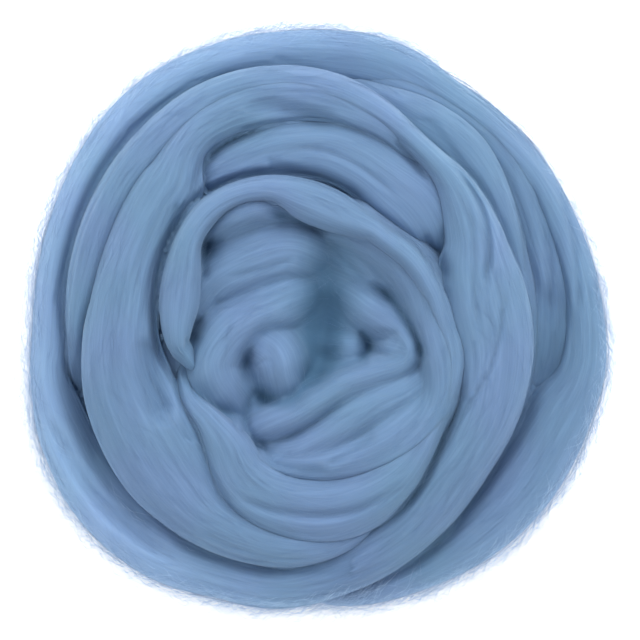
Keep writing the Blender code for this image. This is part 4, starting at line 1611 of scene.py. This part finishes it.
def fibre_tree():
    """Loose fibres rooted on a surface: each follows the lie of the wool and lifts off it a little."""
    tree = bpy.data.node_groups.new("loose fibres", "GeometryNodeTree")
    tree.interface.new_socket("Geometry", in_out="INPUT", socket_type="NodeSocketGeometry")
    for name, kind in FIBRE_INPUTS:
        tree.interface.new_socket(name, in_out="INPUT", socket_type=kind)
    tree.interface.new_socket("Geometry", in_out="OUTPUT", socket_type="NodeSocketGeometry")
    start = tree.nodes.new("NodeGroupInput").outputs
    end = tree.nodes.new("NodeGroupOutput").inputs
    make = NodeMaker(tree)
    scatter = tree.nodes.new("GeometryNodeDistributePointsOnFaces")
    tree.links.new(start["Geometry"], scatter.inputs["Mesh"])
    share = make.add("GeometryNodeInputNamedAttribute", {"Name": start["Where"]}, data_type="FLOAT")
    tree.links.new(make.math("MULTIPLY", start["Density"], share), scatter.inputs["Density"])
    tree.links.new(start["Seed"], scatter.inputs["Seed"])
    points = scatter.outputs["Points"]
    points = make.stored(points, "up", "FLOAT_VECTOR", scatter.outputs["Normal"])
    points = make.stored(points, "root", "FLOAT_VECTOR", make.add("GeometryNodeInputPosition"))
    for i, name in enumerate(("span", "rise", "close", "swing", "curl", "tone")):
        seed = make.math("ADD", start["Seed"], 10.0 * (i + 1))
        points = make.stored(points, name, "FLOAT", make.random(0.0, 1.0, seed))
    line = make.add("GeometryNodeCurvePrimitiveLine", {"Start": (0, 0, 0), "End": (0, 0, MM)})
    line = make.add("GeometryNodeResampleCurve", {"Curve": line, "Count": start["Points"]})
    fibres = make.add("GeometryNodeInstanceOnPoints", {"Points": points, "Instance": line})
    fibres = make.add("GeometryNodeRealizeInstances", {"Geometry": fibres})
    place = make.add("GeometryNodeSplineParameter")
    span = make.math("MULTIPLY_ADD", make.named("span", "FLOAT"), 1.0, 0.5)
    span = make.math("MULTIPLY", start["Length"], span)
    run = make.math("MULTIPLY", span, make.math("SUBTRACT", place, 0.5))
    lie = make.named("lie", "FLOAT_VECTOR")
    up = make.named("up", "FLOAT_VECTOR")
    side = make.vector("CROSS_PRODUCT", up, lie)
    ahead = make.scaled(lie, run)
    bow = make.math("MULTIPLY", make.math("MULTIPLY", run, run), 0.5)
    bent = make.scaled(make.named("bend", "FLOAT_VECTOR"), bow)
    rise = make.math("POWER", make.named("rise", "FLOAT"), start["Bunch"])
    rise = make.math("MULTIPLY", start["Lift"], rise)
    rise = make.math("ADD", rise, FIBRE_REST)
    arch = make.math("MULTIPLY_ADD", make.named("close", "FLOAT"), FIBRE_CLOSE, 1.0)
    arch = make.math("SINE", make.math("MULTIPLY", make.math("MULTIPLY", place, math.pi), arch))
    height = make.math("ADD", make.math("MULTIPLY", rise, arch), FIBRE_BED)
    height = make.math("ADD", height, make.named("bed", "FLOAT"))
    lifted = make.scaled(up, height)
    swing = make.math("SUBTRACT", make.named("swing", "FLOAT"), 0.5)
    far = make.math("POWER", make.math("ABSOLUTE", swing), 3.0)
    swing = make.math("MULTIPLY", far, make.math("SIGN", swing))
    swing = make.math("MULTIPLY", swing, FIBRE_SWING)
    wave = make.math("MULTIPLY", place, CURL_TURNS)
    curl = make.math("MULTIPLY_ADD", make.named("curl", "FLOAT"), CURL_START, wave)
    curl = make.math("MULTIPLY", make.math("SINE", curl), FIBRE_CURL)
    aside = make.scaled(side, make.math("ADD", make.math("MULTIPLY", swing, run), curl))
    where = make.vector("ADD", make.vector("ADD", make.named("root", "FLOAT_VECTOR"), ahead), bent)
    where = make.vector("ADD", make.vector("ADD", where, lifted), aside)
    where = make.vector("MAXIMUM", where, (-1.0, -1.0, FIBRE_LEAST))
    fibres = make.add("GeometryNodeSetPosition", {"Geometry": fibres, "Position": where})
    taper = make.math("SINE", make.math("MULTIPLY_ADD", place, TAPER_RUN, TAPER_START))
    section = {"Resolution": FIBRE_SIDES, "Radius": start["Radius"]}
    section = make.add("GeometryNodeCurvePrimitiveCircle", section)
    inputs = {"Curve": fibres, "Profile Curve": section, "Scale": taper, "Fill Caps": True}
    hairs = make.add("GeometryNodeCurveToMesh", inputs)
    hairs = make.add("GeometryNodeRealizeInstances", {"Geometry": hairs})
    hairs = make.add("GeometryNodeSetMaterial", {"Geometry": hairs, "Material": start["Material"]})
    tree.links.new(hairs, end["Geometry"])
    return tree


# Attributes that only the tree needs.
FIBRE_NOTES = {
    "bed", "press", "crest", "halo", "lie", "bend", "up", "root", "span", "rise", "close", "swing", "curl",
}


def grown(name, source, tree, values):
    """The tree's result on a copy of the source mesh, as a plain mesh object."""
    mesh = source.data.copy()
    obj = bpy.data.objects.new(name, mesh)
    bpy.context.scene.collection.objects.link(obj)
    modifier = obj.modifiers.new("fibres", "NODES")
    modifier.node_group = tree
    for item in tree.interface.items_tree:
        if item.in_out == "INPUT" and item.name in values:
            modifier[item.identifier] = values[item.name]
    bpy.context.view_layer.update()
    graph = bpy.context.evaluated_depsgraph_get()
    made = bpy.data.meshes.new_from_object(obj.evaluated_get(graph))
    obj.modifiers.clear()
    obj.data = made
    bpy.data.meshes.remove(mesh)
    made.name = name
    for attribute in [item.name for item in made.attributes if item.name in FIBRE_NOTES]:
        made.attributes.remove(made.attributes[attribute])
    return obj


# Coats of loose fibres. Columns: name, piece that they stand on, attribute that says where, points along a
# fibre, share of the density, of the length and of the lift, and how closely most of them keep to the wool.
FIBRE_COATS = (
    ("close_fibres", "packed_wool", "crest", 4, 1.0, 1.0, 0.2, 4.0),
    ("standing_fibres", "packed_wool", "crest", 4, 0.7, 0.8, 0.5, 4.0),
    ("middle_fibres", "middle_folds", "crest", 4, 1.2, 0.5, 0.4, 4.0),
    ("rim_fibres", "packed_wool", "halo", 3, 7.0, 0.35, 0.7, 1.0),
    ("rim_wisps", "packed_wool", "halo", 3, 7.0, 0.4, 1.3, 1.0),
)
FIRST_SEED = 11


class ROVING_OT_loose_fibres(bpy.types.Operator):
    """Grows the loose fibres that stand off the wool"""

    bl_idname = "roving.loose_fibres"
    bl_label = "Loose fibres"

    def execute(self, context):
        scene = context.scene
        settings = scene.roving_fibres
        tree = fibre_tree()
        colours = scene.roving_colours
        lying = fibre_material("lying fibre", colours.body, colours.light)
        # The rim's fibres take paler colours than the wool, as painted light.
        rim_fibre_painted_light = fibre_material("standing fibre", colours.rim_fibre_painted_light, colours.pale_rim_fibre_painted_light)
        for i, (name, source, where, points, share, length, lift, bunch) in enumerate(FIBRE_COATS):
            values = {
                "Density": settings.density * share,
                "Where": where,
                "Length": settings.length * length,
                "Lift": settings.lift * lift,
                "Bunch": bunch,
                "Radius": settings.radius,
                "Points": points,
                "Seed": FIRST_SEED + i,
                "Material": rim_fibre_painted_light if where == "halo" else lying,
            }
            finished_piece(grown(name, bpy.data.objects[source], tree, values))
        return {"FINISHED"}


FLOOR_REACH = 3.0
WORLD_LIGHT = 0.75
# Soft lights, in metres and watts. Columns: name, place, power, size.
LIGHTS = (
    ("key", (0.2, 0.85, 0.95), 10.95, 0.8),
    ("fill_right", (0.8, -0.1, 0.9), 3.5, 0.9),
    ("fill_left", (-0.8, 0.1, 0.9), 4.1, 0.9),
)
# The photo's side, the nest's middle in it and its width there, and what that width is.
PHOTO_SIDE = 640
NEST_CENTRE_PIXEL = (320.0, 316.5)
NEST_PIXELS = 584.0
NEST_WIDTH = 180.0 * MM
RIM_HEIGHT = 30.0 * MM
CAMERA_HEIGHT = 4.0
SENSOR = 36.0


def pale_floor(scene):
    """The plain floor that the nest lies on."""
    side = FLOOR_REACH
    mesh = bpy.data.meshes.new("floor")
    corners = [(-side, -side, 0), (side, -side, 0), (side, side, 0), (-side, side, 0)]
    mesh.from_pydata(corners, [], [(0, 1, 2, 3)])
    paper, _, _ = new_material("pale paper", PAPER_SURFACE)
    mesh.materials.append(paper)
    floor = bpy.data.objects.new("floor", mesh)
    scene.collection.objects.link(floor)


def soft_light(name, place, power, size):
    """A square soft light at its place, aimed at the nest."""
    light = bpy.data.lights.new(name, "AREA")
    light.energy = power
    light.size = size
    obj = bpy.data.objects.new(name, light)
    obj.location = place
    obj.rotation_euler = (-Vector(place)).to_track_quat("-Z", "Y").to_euler()
    bpy.context.scene.collection.objects.link(obj)


def pale_world(scene):
    """Even white light from all round."""
    scene.world = bpy.data.worlds.new("studio")
    scene.world.use_nodes = True
    background = scene.world.node_tree.nodes["Background"].inputs
    background["Color"].default_value = (1, 1, 1, 1)
    background["Strength"].default_value = WORLD_LIGHT


def camera_above(scene):
    """The camera straight above, which shows the nest where the photo has it."""
    camera = bpy.data.cameras.new("camera")
    camera.sensor_width = SENSOR
    frame_width = PHOTO_SIDE * NEST_WIDTH / NEST_PIXELS
    camera.lens = SENSOR * (CAMERA_HEIGHT - RIM_HEIGHT) / frame_width
    off_centre = NEST_CENTRE_PIXEL[1] - PHOTO_SIDE / 2
    obj = bpy.data.objects.new("camera", camera)
    obj.location = (0, off_centre * NEST_WIDTH / NEST_PIXELS, CAMERA_HEIGHT)
    scene.collection.objects.link(obj)
    scene.camera = obj


class ROVING_OT_stage(bpy.types.Operator):
    """Sets the pale floor, the soft lights and the camera straight above"""

    bl_idname = "roving.stage"
    bl_label = "Stage"

    def execute(self, context):
        scene = context.scene
        scene.view_settings.view_transform = "Standard"
        scene.view_settings.look = "None"
        pale_floor(scene)
        pale_world(scene)
        for light in LIGHTS:
            soft_light(*light)
        camera_above(scene)
        return {"FINISHED"}


class ROVING_PT_panel(bpy.types.Panel):
    """Lists the nest's settings and its operators"""

    bl_label = "Wool roving nest"
    bl_idname = "ROVING_PT_panel"
    bl_space_type = "VIEW_3D"
    bl_region_type = "UI"
    bl_category = "Roving"

    def draw(self, context):
        layout = self.layout
        scene = context.scene
        for group in (scene.roving_strand, scene.roving_colours, scene.roving_fibres):
            box = layout.box()
            for name in group.__annotations__:
                box.prop(group, name)
        for step in STEPS:
            layout.operator(step.bl_idname)


STEPS = (
    ROVING_OT_stage,
    ROVING_OT_round_turns,
    ROVING_OT_middle_folds,
    ROVING_OT_lower_coils,
    ROVING_OT_packed_wool,
    ROVING_OT_loose_fibres,
)
GROUPS = (
    ("roving_strand", StrandSettings),
    ("roving_colours", WoolColours),
    ("roving_fibres", FibreSettings),
)


def register():
    for name, group in GROUPS:
        bpy.utils.register_class(group)
        setattr(bpy.types.Scene, name, PointerProperty(type=group))
    for step in STEPS:
        bpy.utils.register_class(step)
    bpy.utils.register_class(ROVING_PT_panel)


def unregister():
    bpy.utils.unregister_class(ROVING_PT_panel)
    for step in reversed(STEPS):
        bpy.utils.unregister_class(step)
    for name, group in reversed(GROUPS):
        delattr(bpy.types.Scene, name)
        bpy.utils.unregister_class(group)


def main():
    register()
    bpy.ops.roving.stage()
    bpy.ops.roving.round_turns()
    bpy.ops.roving.middle_folds()
    bpy.ops.roving.lower_coils()
    bpy.ops.roving.packed_wool()
    bpy.ops.roving.loose_fibres()


if __name__ == "__main__":
    main()
